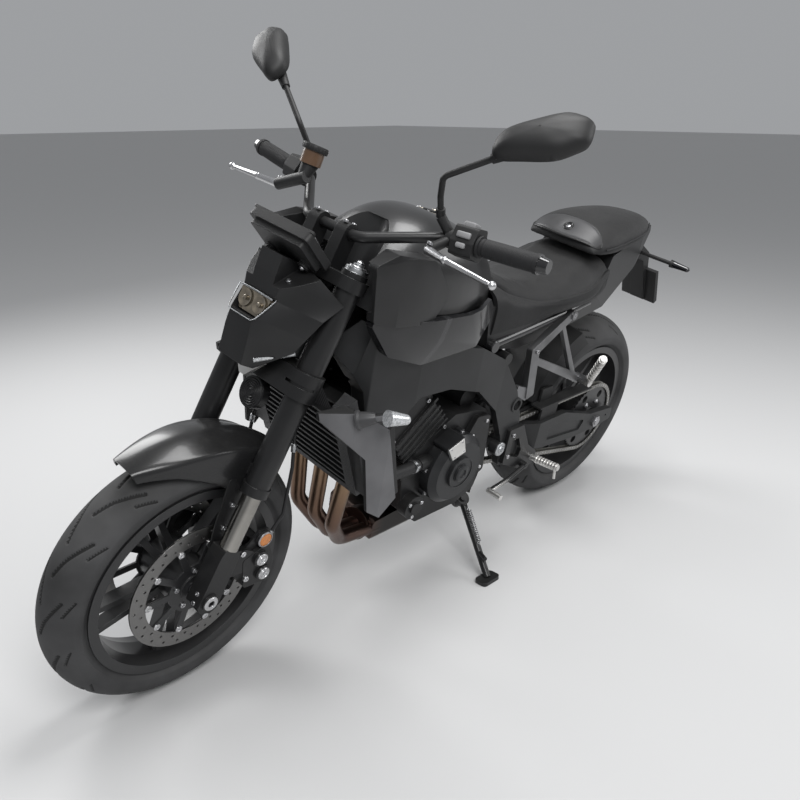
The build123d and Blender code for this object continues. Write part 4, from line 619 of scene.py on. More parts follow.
def tyre_piece(node, hub, body, radius, width, drop, rim_width, strokes, repeats):
    """A tyre with slanting grooves sunk into a round tread, and a lipped wall each side."""
    half = width / 2
    crown = (half**2 + drop**2) / (2 * drop)
    edge = math.asin(half / crown)
    bead = rim_width / 2 - BEAD_INSET
    rise = radius - drop - LIP_RADIUS
    wall = [(BEAD_RADIUS, bead), (LIP_RADIUS - 0.003, bead), (LIP_RADIUS, bead + 0.0015)]
    wall += [(LIP_RADIUS + share * rise, half - inset) for share, inset in WALL]
    tilt = np.linspace(-edge, edge, TREAD_ROWS)
    profile = [(r, -y) for r, y in wall]
    profile += [(radius - crown + crown * math.cos(t), crown * math.sin(t)) for t in tilt]
    profile = np.array(profile + wall[::-1])
    off_tread = np.full(len(wall), 9.0)
    arc = np.concatenate([-off_tread, tilt * crown, off_tread])
    turn = np.linspace(0, 2 * math.pi, TREAD_STEPS, endpoint=False)
    pitch = 2 * math.pi * radius / repeats
    run, side = np.meshgrid(turn * radius, arc, indexing="ij")
    sunk = np.zeros_like(run)
    for sign, shift in ((1, 0.0), (-1, pitch / 2)):
        for start, end, groove in strokes:
            way = np.subtract(end, start)
            for lap in (-1, 0, 1):
                s = (run + shift) % pitch + lap * pitch - start[0]
                t = sign * side - start[1]
                share = np.clip((s * way[0] + t * way[1]) / (way @ way), 0, 1)
                gap = np.hypot(s - share * way[0], t - share * way[1])
                sunk = np.maximum(sunk, np.clip((groove / 2 + GROOVE_EDGE / 2 - gap) / GROOVE_EDGE, 0, 1))
    reach = profile[:, 0] - GROOVE_DEPTH * sunk
    ahead, up = reach * np.cos(turn)[:, None], reach * np.sin(turn)[:, None]
    points = np.stack([ahead, profile[:, 1] + 0 * reach, up], -1)
    rows = len(profile)
    shape = Shape()
    shape.points = [Vector(point) for point in points.reshape(-1, 3)]
    for step in range(TREAD_STEPS):
        low, high = step * rows, (step + 1) % TREAD_STEPS * rows
        shape.faces += [[low + k, low + k + 1, high + k + 1, high + k] for k in range(rows - 1)]
        shape.faces.append([low + rows - 1, low, high, high + rows - 1])
    depth = sunk.ravel()
    shape.finishes = [int(depth[face].mean() > 0.45) for face in shape.faces]
    obj = piece(node + "_tread", shape, [RUBBER, GROOVE], body, hub, sharp=50)
    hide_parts(node)


FRONT_STROKES = (((0.000, 0.004), (0.04, 0.016), 0.0062), ((0.04, 0.016), (0.094, 0.042), 0.0062),
                 ((0.064, 0.05), (0.104, 0.066), 0.0042))
REAR_STROKES = (((0.000, 0.006), (0.052, 0.024), 0.006), ((0.052, 0.024), (0.112, 0.062), 0.006),
                ((0.07, 0.066), (0.12, 0.092), 0.0048))
tyre_piece("front_tyre", FRONT_HUB, "front_wheel", FRONT_RADIUS, 0.12, 0.038, 0.1, FRONT_STROKES, 14)
tyre_piece("rear_tyre", REAR_HUB, "rear_wheel", REAR_RADIUS, 0.18, 0.052, 0.15, REAR_STROKES, 12)


VALVE_TURN = 100
DISC_FACE = 0.06425


def spot(radius, degrees, side):
    """A place round an axle: forward, to the side and up."""
    turn = math.radians(degrees)
    return Vector((radius * math.cos(turn), side, radius * math.sin(turn)))


def bolt_circle(centre, radius, count, start, axis):
    """Rows of places and axes for bolts round a centre."""
    return [(Vector(centre) + spot(radius, 360 / count * bolt + start, 0), axis) for bolt in range(count)]


def wheel_fittings():
    """Disc buttons, disc and sprocket bolts, and the valves."""
    button = turned([(0, -0.003), (0.0078, -0.003), (0.0078, 0.0022), (0.0062, 0.0034), (0.0038, 0.0034),
                     (0.0032, 0.0012), (0, 0.0012)], 18)
    buttons, rows = Shape(), []
    for side in (-1, 1):
        centre, out = (0, side * DISC_FACE, 0), LEFT * side
        for place, axis in bolt_circle(centre, 0.1075, 10, 0, out):
            buttons.add(button, aim(place, axis))
        rows += bolt_circle(centre, 0.045, 5, 18, out)
    piece("disc_buttons", buttons, [SILVER], "front_wheel", FRONT_HUB)
    screws("disc_bolts", rows, 0.0062, STEEL, "front_wheel", FRONT_HUB)
    rear = Shape()
    for place, axis in bolt_circle((0, -0.0845, 0), 0.045, 5, 18, RIGHT):
        rear.add(screw(0.0062), aim(place, axis))
    for place, axis in bolt_circle((0, 0.109, 0), 0.058, 6, 0, LEFT):
        rear.add(nut(0.009, 0.006), aim(place, axis))
    piece("rear_hub_bolts", rear, [STEEL], "rear_wheel", REAR_HUB)
    stem = turned([(0, 0), (0.0042, 0), (0.0042, 0.012), (0.003, 0.014), (0.003, 0.02), (0.0044, 0.021),
                   (0.0044, 0.03), (0.003, 0.032), (0, 0.032)], 14)
    for end, hub in (("front", FRONT_HUB), ("rear", REAR_HUB)):
        valve = Shape().add(stem, aim(spot(0.2005, VALVE_TURN, 0), -spot(1, VALVE_TURN, 0)))
        piece(end + "_valve", valve, [SATIN], end + "_wheel", hub)


wheel_fittings()


# Fork, brakes and fender
CAP = ((1, 0.6), (0.9, 1), (0.74, 1), (0.7, 0.7), (0.62, 0.7), (0.58, 1), (0.4, 1), (0.34, 0.3), (0, 0.3))


def ridged_cap(radius, high):
    """A turned cap with a ring groove and a socket."""
    rim = [(radius * across, high * up) for across, up in CAP]
    return turned([(0, -0.001), (radius, -0.001)] + rim, 28)


def fork_fittings():
    """Axle ends, pinch bolts, caliper caps, reflectors, fender bolts, fork caps and hose ends."""
    bright, dark, amber, ends = Shape(), Shape(), Shape(), Shape()
    crimp = turned([(0.0042, 0), (0.0062, 0.001), (0.0062, 0.006), (0.0056, 0.007), (0.0062, 0.008),
                    (0.0062, 0.018), (0.0042, 0.02)], 14)
    lens = turned([(0, 0), (0.0165, 0), (0.0165, 0.0065), (0.0145, 0.0085), (0, 0.0092)], 28)
    for node, side in (("fork_left", 1), ("fork_right", -1)):
        out = LEFT * side
        bright.add(ring(0.0078, 0.0165, 0.007, 0.0015), aim((0, side * 0.1215, 0), out))
        for place in ((-0.112, 0.11, 0.092), (-0.138, 0.11, 0.056)):
            bright.add(ridged_cap(0.015, 0.0045), aim(sided(place, side), out))
        for place in ((-0.052, 0.104, 0.104), (-0.096, 0.104, 0.04)):
            bright.add(screw(0.007), aim(sided(place, side), out))
        for height in (-0.011, 0.011):
            dark.add(screw(0.0052), aim((0.0245, side * 0.104, height), FORWARD))
        for place in ((0.002, 0.0752, 0.096), (0.006, 0.0752, 0.15), (0.01, 0.0752, 0.204)):
            dark.add(screw(0.0058), aim(sided(place, side), out))
        reflector = aim((-0.102, side * 0.0975, 0.138), out)
        dark.add(ring(0.016, 0.0195, 0.009, 0.0015), reflector)
        amber.add(lens, reflector)
        bright.add(ring(0.008, 0.0185, 0.004, 0.001), aim((0, side * FORK_Y, 0.744), UP))
        bright.add(nut(0.0085, 0.005), aim((0, side * FORK_Y, 0.7525), UP))
        for low, high, share in (((-0.128, 0.084, 0.122), (-0.146, 0.084, 0.19), 0.1),
                                 ((-0.116, 0.076, 0.3), (-0.076, 0.064, 0.4), 0.35)):
            low, high = sided(low, side), sided(high, side)
            ends.add(crimp, aim(low.lerp(high, share), high - low))
        paint(node, [SATIN, STANCHION, ALLOY], fork_finish, FORK)
    piece("fork_bright_fittings", bright, [SILVER], "steering", FORK)
    piece("fork_bolts", dark, [STEEL], "steering", FORK)
    piece("fork_reflectors", amber, [AMBER], "steering", FORK)
    piece("hose_ends", ends, [ALLOY], "steering", FORK)


def fork_finish(place, normal):
    """Bare alloy caps, grey on the bare stretch of the inner tubes, satin elsewhere."""
    if place.z > 0.736:
        return 2
    bare = math.hypot(place.x, abs(place.y) - FORK_Y) < 0.0212
    return 1 if 0.124 < place.z < 0.248 and bare else 0


fork_fittings()
# The fender's sections: turn in degrees, share of the width, shoulder drop and side drop
FENDER_SECTIONS = ((43.6, 0.52, 0.003, 0.022), (56, 0.8, 0.009, 0.044), (68, 0.95, 0.012, 0.074),
                   (80, 0.98, 0.013, 0.098), (92, 1.0, 0.013, 0.118), (104.4, 1.0, 0.013, 0.118))
FENDER_TOP = FRONT_RADIUS + 0.044
FENDER_HALF = 0.075
SKIN = 0.0008
SHELL = 0.003


def fender_skin():
    """The fender's smooth painted skin over its arched shell."""
    loops = []
    for turn, width, shoulder, side in smooth_line(FENDER_SECTIONS, 8):
        half = FENDER_HALF * width
        low = FENDER_TOP - shoulder
        wing = [(low, half * 0.72), (low - 0.012, half - 0.002), (FENDER_TOP - side - SKIN, half)]
        arch = smooth_line([(r, -y) for r, y in reversed(wing)] + [(FENDER_TOP, 0)] + wing, 6)
        outer = [(r + SKIN, y * (half + SKIN) / half) for r, y in arch]
        inner = [(r - SHELL - SKIN, y * (half - SHELL - SKIN) / half) for r, y in reversed(arch)]
        loops.append([spot(r, turn, y) for r, y in outer + inner])
    piece("fender_skin", Shape().add(stacked(loops)), [FENDER_PAINT], "steering", FORK, 50)


fender_skin()


# Lamp, dash and horn
def lamp_fittings():
    """The lamp's bright edges, its trim, the cowl's screws and the horn's ribbed face."""
    shape = Shape()
    half = [(0.112, 0.054, 0.016), (0.121, 0.047, -0.008), (0.13, 0.04, -0.03), (0.1325, 0.033, -0.0365)]
    u_path = half + [sided(point, -1) for point in reversed(half)]
    shape.add(tube(u_path, 0.0017, 10, 0.7))
    shape.add(tube([(0.1145, -0.045, 0.0145), (0.1155, 0, 0.0155), (0.1145, 0.045, 0.0145)], 0.0022, 10))
    piece("lamp_trim", shape, [ALLOY], "steering", HEAD)
    bowls = Shape()
    bowl = turned([(0.0175, 0.0035), (0.0165, 0.0035), (0.012, 0.0015), (0.0045, 0.0008), (0.0045, 0.004),
                   (0.0028, 0.0052), (0, 0.0052)], 28)
    for y in (-0.021, 0.021):
        bowls.add(bowl, aim((0.1138, y, -0.006), FORWARD))
    piece("lamp_bowls", bowls, [REFLECTOR], "steering", HEAD)
    rows = [((0.094, y, 0.058), (0.707, 0, 0.707)) for y in (0.045, -0.045)]
    screws("cowl_screws", rows, 0.0055, STEEL, "steering", HEAD)
    horn = Shape()
    profile = [(0, 0.001), (0.006, 0.003), (0.009, 0.001)]
    for rib in range(4):
        r = 0.012 + 0.005 * rib
        profile += [(r, 0.0028), (r + 0.0025, 0.001)]
    profile += [(0.0325, 0.0012), (0.0325, -0.002), (0, -0.002)]
    horn.add(turned(profile, 36), aim((0.0162, 0, -0.184), FORWARD))
    piece("horn_face", horn, [SATIN], "steering", HEAD)
    paint("lamps", [REFLECTOR, CLEAR], lambda p, n: 1 if p.z < -0.05 else 0, HEAD)
    paint("lamp_cowl", [MATT, PALE], lambda p, n: 1 if p.z < -0.107 and 0.054 < p.x < 0.066 else 0, HEAD)


lamp_fittings()
DASH = HEAD @ plane_at((0.093, 0, 0.124), (0.911, 0, 0.413), (-0.413, 0, 0.911))


def dash_fittings():
    """The dash's screen with its rim, and the rubber mounts under it."""
    screen = [(-0.04, -0.074), (0.03, -0.078), (0.038, -0.066), (0.038, 0.066), (0.03, 0.078), (-0.04, 0.074)]
    shape = Shape().add(slab(screen, 0.0146, 0.0162, 0.0008))
    piece("dash_screen", shape, [SMOKE], "steering", DASH)
    rim = [(x * 1.04, y * 1.03, 0.0158) for x, y in screen]
    piece("dash_rim", Shape().add(tube(rim + rim[:1], 0.0018, 8)), [GREY], "steering", DASH)
    mount = turned([(0, 0), (0.013, 0), (0.013, 0.003), (0.01, 0.0045), (0.01, 0.006), (0.012, 0.0075),
                    (0.012, 0.0095), (0.006, 0.0105), (0, 0.0105)], 24)
    mounts = Shape()
    for y in (-0.05, 0.05):
        mounts.add(mount, aim((-0.024, y, -0.0148), -UP), 0)
        mounts.add(screw(0.0052), aim((-0.024, y, -0.0252), -UP), 1)
    piece("dash_mounts", mounts, [HOSE, STEEL], "steering", DASH)


dash_fittings()


# Handlebar, controls and mirrors
BAR_H = 0.187
BAR_KINK = Vector((-0.09, 0.2, BAR_H + 0.074))
BAR_END = Vector((-0.105, 0.398, BAR_H + 0.096))
BAR_ALONG = (BAR_KINK - BAR_END).normalized()
GRIP_LENGTH = 0.122
GRIP_RIBS = 26


def bar_place(distance, side):
    """A place on the bar, counted inward from its end, with the bar's direction there."""
    return sided(BAR_END + BAR_ALONG * distance, side), sided(BAR_ALONG, side)


def bar_finish(place, normal):
    """Rubber on the grips, gloss on the end weights, satin on the bar."""
    place = Vector((place.x, abs(place.y), place.z))
    distance = (place - BAR_END).dot(BAR_ALONG)
    if distance < 0.0005:
        return 2
    return 1 if distance < 0.128 and place.y > 0.2 else 0


def bar_fittings():
    """Ribbed grips, riser bolts and the steering stem's nut."""
    grips = Shape()
    profile = [(0.0168, 0.0)]
    for rib in range(GRIP_RIBS):
        start = 0.01 + (GRIP_LENGTH - 0.018) * rib / GRIP_RIBS
        swell = 0.0004 * math.sin(math.pi * rib / GRIP_RIBS)
        for radius, further in ((0.0173, 0), (0.0178, 0.0012), (0.0178, 0.0026), (0.0173, 0.0034)):
            profile.append((radius + swell, start + further))
    profile.append((0.0168, GRIP_LENGTH - 0.004))
    for side in (1, -1):
        grips.add(turned(profile, 32), aim(*bar_place(0.0, side)))
    piece("grip_ribs", grips, [GRIP], "steering", HEAD)
    rows = []
    for y in (-0.04, 0.04):
        for ahead in (-0.013, 0.013):
            rows.append(((ahead, y, BAR_H + 0.0185), (ahead * 12, 0, 1)))
    screws("riser_bolts", rows, 0.0052, STEEL, "steering", HEAD)
    stem = Shape().add(nut(0.018, 0.009), aim((-FORK_OFFSET, 0, 0.1142), UP))
    piece("stem_nut", stem, [ALLOY], "steering", HEAD)
    paint("handlebar", [SATIN, GRIP, GLOSS_BAR], bar_finish, HEAD)


bar_fittings()
CLUTCH_LEVER = ((-0.041, 0.206, 0.222), (-0.024, 0.262, 0.217), (-0.036, 0.368, 0.212))
BRAKE_LEVER = ((-0.018, -0.208, 0.218), (-0.006, -0.262, 0.215), (-0.024, -0.372, 0.212))
LEVER_REACH = 0.0125
RESERVOIR_Y = -0.142
CAP_X = -0.0125
CAP_RADIUS = 0.0272


def left_finish(place, normal):
    """Silver lever on the left."""
    return 1 if near_path(place, CLUTCH_LEVER, LEVER_REACH) else 0


def right_finish(place, normal):
    """Silver lever and brown reservoir body on the right."""
    if near_path(place, BRAKE_LEVER, LEVER_REACH):
        return 1
    body = math.hypot(place.x + 0.015, place.y - RESERVOIR_Y) < 0.0245
    return 2 if body and 0.281 < place.z < 0.3075 else 0


def control_fittings():
    """Levers in silver, switch buttons, the reservoir's ribbed cap and the lever pivots."""
    paint("controls_left", [PLASTIC, SILVER], left_finish, HEAD)
    paint("controls_right", [PLASTIC, SILVER, BROWN], right_finish, HEAD)
    buttons = Shape()
    place, along = bar_place(0.154, 1)
    left = plane_at(place, (1, 0.2, 0), along)
    for x, y, size in ((0.004, 0.032, (0.026, 0.012, 0.026)), (0.0245, 0.01, (0.008, 0.012, 0.03)),
                       (0.0245, -0.01, (0.008, 0.01, 0.02)), (-0.0245, 0.004, (0.008, 0.014, 0.018))):
        buttons.add(rounded(size, 0.003), left @ at(x, y, 0))
    place, along = bar_place(0.15, -1)
    right = plane_at(place, (1, -0.2, 0), along)
    buttons.add(rounded((0.01, 0.014, 0.016), 0.003), right @ at(-0.0245, -0.004, 0))
    piece("switch_buttons", buttons, [GREY], "steering", HEAD)
    kill = Shape().add(rounded((0.02, 0.012, 0.018), 0.004), right @ at(-0.02, 0.018, 0))
    piece("kill_switch", kill, [KILL], "steering", HEAD)
    cap = Shape()
    profile = [(0, 0.0112), (0.02, 0.0112), (0.024, 0.0128), (0.0262, 0.0122), (CAP_RADIUS, 0.01),
               (CAP_RADIUS, 0.002), (0.0262, 0.0)]
    cap.add(turned(profile, 40), aim((CAP_X, RESERVOIR_Y, 0.308), (0.1, 0, 1)))
    for turn in around(20):
        x, y = CAP_X + CAP_RADIUS * math.cos(turn), RESERVOIR_Y + CAP_RADIUS * math.sin(turn)
        cap.add(tube([(x, y, 0.3095), (x, y, 0.3175)], 0.0011, 6))
    piece("reservoir_cap", cap, [PLASTIC], "steering", HEAD)
    pivots = [((-0.04, 0.206, 0.2335), UP), ((-0.018, -0.208, 0.2305), UP)]
    screws("lever_pivots", pivots, 0.0065, STEEL, "steering", HEAD)


control_fittings()
MIRROR_OUTLINE = ((-0.082, -0.022), (-0.034, -0.0355), (0.02, -0.045), (0.058, -0.0355), (0.077, -0.025),
                  (0.085, 0.0), (0.0855, 0.016), (0.07, 0.0305), (0.046, 0.0405), (-0.01, 0.035),
                  (-0.058, 0.026), (-0.078, 0.01))
# The mirror's back: height behind the glass, and share of the outline
MIRROR_BACK = ((-0.0085, 0.93), (-0.0085, 0.955), (-0.004, 0.985), (0.001, 0.995), (0.008, 0.975),
               (0.014, 0.935), (0.02, 0.84), (0.025, 0.71), (0.029, 0.53), (0.0315, 0.32), (0.0325, 0.02))
GLASS_PLACE = at(0, 0, -0.0079) @ Matrix.Rotation(math.pi, 4, "X") @ Matrix.Diagonal((1, -1, 1, 1))


def mirrors():
    """The mirrors' glass and their smooth backs."""
    for side, name in ((1, "left"), (-1, "right")):
        head = HEAD @ plane_at(sided((0.006, 0.356, BAR_H + 0.275), side), sided((0, 0.13, 0.095), side),
                               sided((0.91, 0.05, 0.4), side))
        outline = [(x, side * y) for x, y in MIRROR_OUTLINE]
        glass = slab([(x * 0.88, y * 0.86) for x, y in outline], 0.0, 0.0012, 0.0006)
        piece("mirror_glass_" + name, Shape().add(glass, GLASS_PLACE), [GLASS], "steering", head)
        edge = smooth_line(outline, 4, True)
        loops = [[(x * size, y * size, high) for x, y in edge] for high, size in MIRROR_BACK]
        back = Shape().add(stacked(loops, False))
        piece("mirror_back_" + name, back, [PLASTIC], "steering", head, 60)


mirrors()


# Tank, panels and seats
def tank_cap():
    """The filler cap's bright ring, its screws and its hinged flap."""
    cap = plane_at((0.81, 0, 1.018), (1, 0, 0.25), (-0.24, 0, 0.97))
    rim = [(0.0285, 0.0085), (0.0295, 0.0102), (0.0345, 0.0102), (0.0375, 0.0085), (0.0395, 0.0055),
           (0.0395, 0.002)]
    shape = Shape().add(turned(rim, 48), cap, 0)
    for bolt in range(6):
        x, _, y = spot(0.0345, 60 * bolt + 30, 0)
        shape.add(screw(0.0027), cap @ at(x, y, 0.01), 1)
    shape.add(rounded((0.04, 0.018, 0.006), 0.0025), cap @ at(0.002, 0, 0.0105), 2)
    pin = turned([(0.0045, 0.012), (0.0075, 0.0145), (0.0065, 0.0155), (0, 0.0155)], 20)
    shape.add(pin, cap @ at(-0.012, 0, 0), 0)
    piece("tank_cap_ring", shape, [GOLD, STEEL, SATIN], "chassis")


tank_cap()
for side_name in ("left", "right"):
    smooth_copy("duct_" + side_name, "chassis", MATT, 34)
    smooth_copy("side_panel_" + side_name, "chassis", GLOSS, 34)
PAD_GRID = 0.006
PAD_INSET = 0.003
PAD_REACH = 0.0045
PAD_PRESSURE = 4.0
PAD_FRAMES = 20
HELD_BELOW = -0.3


def padded_seat(node, name):
    """A seat pad blown up by cloth pressure from its solid, kept close to it."""
    mesh = nodes[node].data.copy()
    obj = bpy.data.objects.new(name, mesh)
    bpy.context.collection.objects.link(obj)
    bpy.context.view_layer.objects.active = obj
    for other in bpy.context.selected_objects:
        other.select_set(False)
    obj.select_set(True)
    remesh = obj.modifiers.new("even", "REMESH")
    remesh.mode = "VOXEL"
    remesh.voxel_size = PAD_GRID
    bpy.ops.object.modifier_apply(modifier=remesh.name)
    mesh = obj.data
    smooth = obj.modifiers.new("smooth", "SMOOTH")
    smooth.iterations = 4
    bpy.ops.object.modifier_apply(modifier=smooth.name)
    up = BIKE.to_3x3() @ UP
    held = obj.vertex_groups.new(name="held")
    for vertex in mesh.vertices:
        if vertex.normal.dot(up) < HELD_BELOW:
            held.add([vertex.index], 1.0, "REPLACE")
        vertex.co -= vertex.normal * PAD_INSET
    start = np.empty(len(mesh.vertices) * 3)
    mesh.vertices.foreach_get("co", start)
    cloth = obj.modifiers.new("fill", "CLOTH")
    cloth.settings.use_pressure = True
    cloth.settings.uniform_pressure_force = PAD_PRESSURE
    cloth.settings.effector_weights.gravity = 0.0
    cloth.settings.vertex_group_mass = held.name
    for step in range(1, PAD_FRAMES + 1):
        bpy.context.scene.frame_set(step)
    bpy.ops.object.modifier_apply(modifier=cloth.name)
    bpy.context.scene.frame_set(1)
    swollen = np.empty(len(start))
    obj.data.vertices.foreach_get("co", swollen)
    moved = (swollen - start).reshape(-1, 3)
    length = np.linalg.norm(moved, axis=1, keepdims=True)
    moved *= np.minimum(1.0, PAD_REACH / np.maximum(length, 1e-9))
    obj.data.vertices.foreach_set("co", (start.reshape(-1, 3) + moved).ravel())
    finer = obj.modifiers.new("finer", "SUBSURF")
    finer.levels = 1
    finer.render_levels = 1
    bpy.ops.object.modifier_apply(modifier=finer.name)
    obj.vertex_groups.clear()
    obj.data.materials.clear()
    obj.data.materials.append(LEATHER)
    obj.data.shade_smooth()
    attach(obj, "chassis")
    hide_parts(node)


padded_seat("rider_seat", "rider_seat_pad")
padded_seat("pillion_seat", "pillion_seat_pad")


PIPING = ((0.248, 0.106, 0.894), (0.19, 0.128, 0.906), (0.09, 0.126, 0.916), (-0.01, 0.108, 0.918),
          (-0.1, 0.076, 0.918), (-0.16, 0.042, 0.922))


def seat_piping():
    """Piping along the pillion seat's sides."""
    xs, ys, zs = np.array(PIPING[::-1]).T
    power = len(PIPING) - 1
    y_fit, z_fit = np.polyfit(xs, ys, power), np.polyfit(xs, zs, power)
    places = np.linspace(xs[0], xs[-1], 40)[1:36]
    seams = Shape()
    for side in (1, -1):
        line = [(x, side * (np.polyval(y_fit, x) - 0.0016), np.polyval(z_fit, x)) for x in places]
        seams.add(tube(line, 0.002, 8))
    piece("seat_piping", seams, [HOSE], "chassis")


seat_piping()
# The seat's side from front to back, in millimetres: X, then Y and Z from the top down
SKIRT_ROWS = (
    (618, (42, 68, 92, 102.5, 103.5, 102.5, 100), (852, 840, 824, 801, 771, 745, 728)),
    (580, (54, 82, 103, 109.5, 109.5, 108, 105), (836, 830, 815, 791, 765, 745, 731)),
    (540, (76, 95, 110, 114.5, 114, 112.5, 109), (814, 810, 797, 779, 761, 746, 734)),
    (460, (115, 122.5, 124, 123.5, 122, 120, 117), (796, 787, 777, 767, 757, 748, 741)),
    (360, (143, 148, 146, 142, 136, 129, 121), (800, 787, 778, 769, 761, 755, 751)),
    (260, (148, 152, 150, 146, 140, 132, 123), (814, 798, 787, 777, 770, 764, 760)),
    (190, (131, 135, 135, 133, 129, 125, 119), (840, 820, 806, 793, 784, 777, 772)),
    (158, (124, 127, 126, 124, 121, 118, 114), (842, 826, 812, 800, 790, 783, 778)),
)
SKIRT_THICK = Vector((0, 0.014, 0))


def seat_sides():
    """The rider seat's cover drawn down over the tail on both sides."""
    rows = []
    for x, across, up in SKIRT_ROWS:
        outer = smooth_line([(x / 1000, y / 1000, z / 1000) for y, z in zip(across, up)], 3)
        rows.append(outer + [point - SKIRT_THICK for point in reversed(outer)])
    columns = [smooth_line(column, 6) for column in zip(*rows)]
    for side, name in ((1, "seat_side_left"), (-1, "seat_side_right")):
        loops = [[sided(point, side) for point in loop] for loop in zip(*columns)]
        obj = piece(name, Shape().add(stacked(loops)), [LEATHER], "chassis", BIKE, 60)


seat_sides()
SUBFRAME = ((0.612, 0.097, 0.696), (0.46, 0.106, 0.718), (0.33, 0.112, 0.738), (0.215, 0.114, 0.756))


def subframe_tubes():
    """The black subframe tube along the tail's lower edge on both sides, with its front bolt."""
    shape = Shape()
    for side in (1, -1):
        shape.add(tube(smooth_line([sided(point, side) for point in SUBFRAME], 6), 0.0135, 18))
        shape.add(turned([(0.017, -0.01), (0.017, 0.012), (0.015, 0.014), (0, 0.014)], 24),
                  aim((0.606, side * 0.101, 0.697), LEFT * side))
    piece("subframe_tubes", shape, [GLOSS_BAR], "chassis")


PANEL_HALF = 0.112
PANEL_MIDDLE = 0.5
LOCK_UP = 0.46
HOLLOW = 0.013


def panel_place(u, t, lift):
    """A point of the pillion seat's front slope, across and up it, lifted off by a little."""
    y = PANEL_HALF * u
    top = 0.914 + 0.038 * t - (0.554 - 0.251 * t) * y**2 - (136.8 - 5.1 * t) * y**4
    return Vector((0.248 - 0.058 * t + 0.55 * lift, y, top + 0.84 * lift))


def panel_reach(u):
    """How far the panel reaches up and down the slope from its middle."""
    return 0.54 * (1 - u * u) ** 0.55 + 0.004


def pillion_panel():
    """The leaf-shaped panel on the pillion seat's front slope, its dark edge and its sunken lock."""
    across, rows = 64, 20
    points, faces = [], []
    for i in range(across + 1):
        u = -1 + 2 * i / across
        for j in range(rows + 1):
            v = -1 + 2 * j / rows
            t = PANEL_MIDDLE + panel_reach(u) * v
            hollow = math.exp(-((PANEL_HALF * u) ** 2 + (0.069 * (t - LOCK_UP)) ** 2) / (2 * HOLLOW**2))
            edge = max(abs(u), abs(v)) ** 8
            points.append(panel_place(u, t, 0.0062 - 0.0045 * edge - 0.0034 * hollow))
    for i in range(across):
        for j in range(rows):
            a = i * (rows + 1) + j
            faces.append([a, a + 1, a + rows + 2, a + rows + 1])
    shape = Shape().add((points, faces), None, 0)
    steps = [-1 + i / 30 for i in range(61)]
    for way, radius in ((-1, 0.0038), (1, 0.0019)):
        edge = [panel_place(u, PANEL_MIDDLE + way * panel_reach(u), 0.0012) for u in steps]
        shape.add(tube(edge, radius, 10), None, 1)
    lock = plane_at(panel_place(0, LOCK_UP, 0.0026), LEFT, (0.55, 0, 0.84))
    rim = [(0.015, -0.003), (0.015, 0.0034), (0.0132, 0.0046), (0.0105, 0.0034), (0.0092, 0.0014),
           (0, 0.0014)]
    shape.add(turned(rim, 32), lock, 1)
    shape.add(turned([(0.0058, 0.001), (0.0058, 0.0026), (0.0048, 0.0032), (0, 0.0032)], 24), lock, 2)
    shape.add(rounded((0.0062, 0.0014, 0.0008), 0.0003), lock @ at(0, 0, 0.0033), 1)
    piece("pillion_panel", shape, [GREY_PANEL, SATIN, STEEL], "chassis", BIKE, 50)


pillion_panel()
subframe_tubes()


# Tail
def tail_fittings():
    """The plate bracket's screws, the tail lamp's inner bars and dark indicator lenses."""
    top = Vector((-0.288, 0, 0.752))
    slope = (Vector((-0.344, 0, 0.64)) - top).normalized()
    back = Vector((slope.z, 0, -slope.x)).normalized()
    rows = []
    for y in (-0.046, 0.046):
        for share in (0.016, 0.1):
            rows.append((top + LEFT * y + slope * share + back * 0.004, back))
    screws("plate_screws", rows, 0.0045, STEEL, "chassis")
    bars = Shape()
    for y in (-0.024, -0.012, 0, 0.012, 0.024):
        bars.add(rounded((0.003, 0.007, 0.014), 0.001), at(-0.1875, y, 0.873))
    piece("tail_lamp_bars", bars, [RED], "chassis")
    paint("plate_bracket", [PLASTIC, SMOKE], lambda p, n: 1 if abs(p.y) > 0.15 else 0)


tail_fittings()


# Engine, radiator and exhaust
CRANK = Vector((0.74, 0, 0.4))
BANK_TILT = math.radians(40)
BANK_UP = Vector((math.sin(BANK_TILT), 0, math.cos(BANK_TILT)))
BANK_AHEAD = Vector((math.cos(BANK_TILT), 0, -math.sin(BANK_TILT)))


def along_bank(up, ahead, y):
    """A place on the tilted cylinder bank."""
    return CRANK + BANK_UP * up + BANK_AHEAD * ahead + LEFT * y


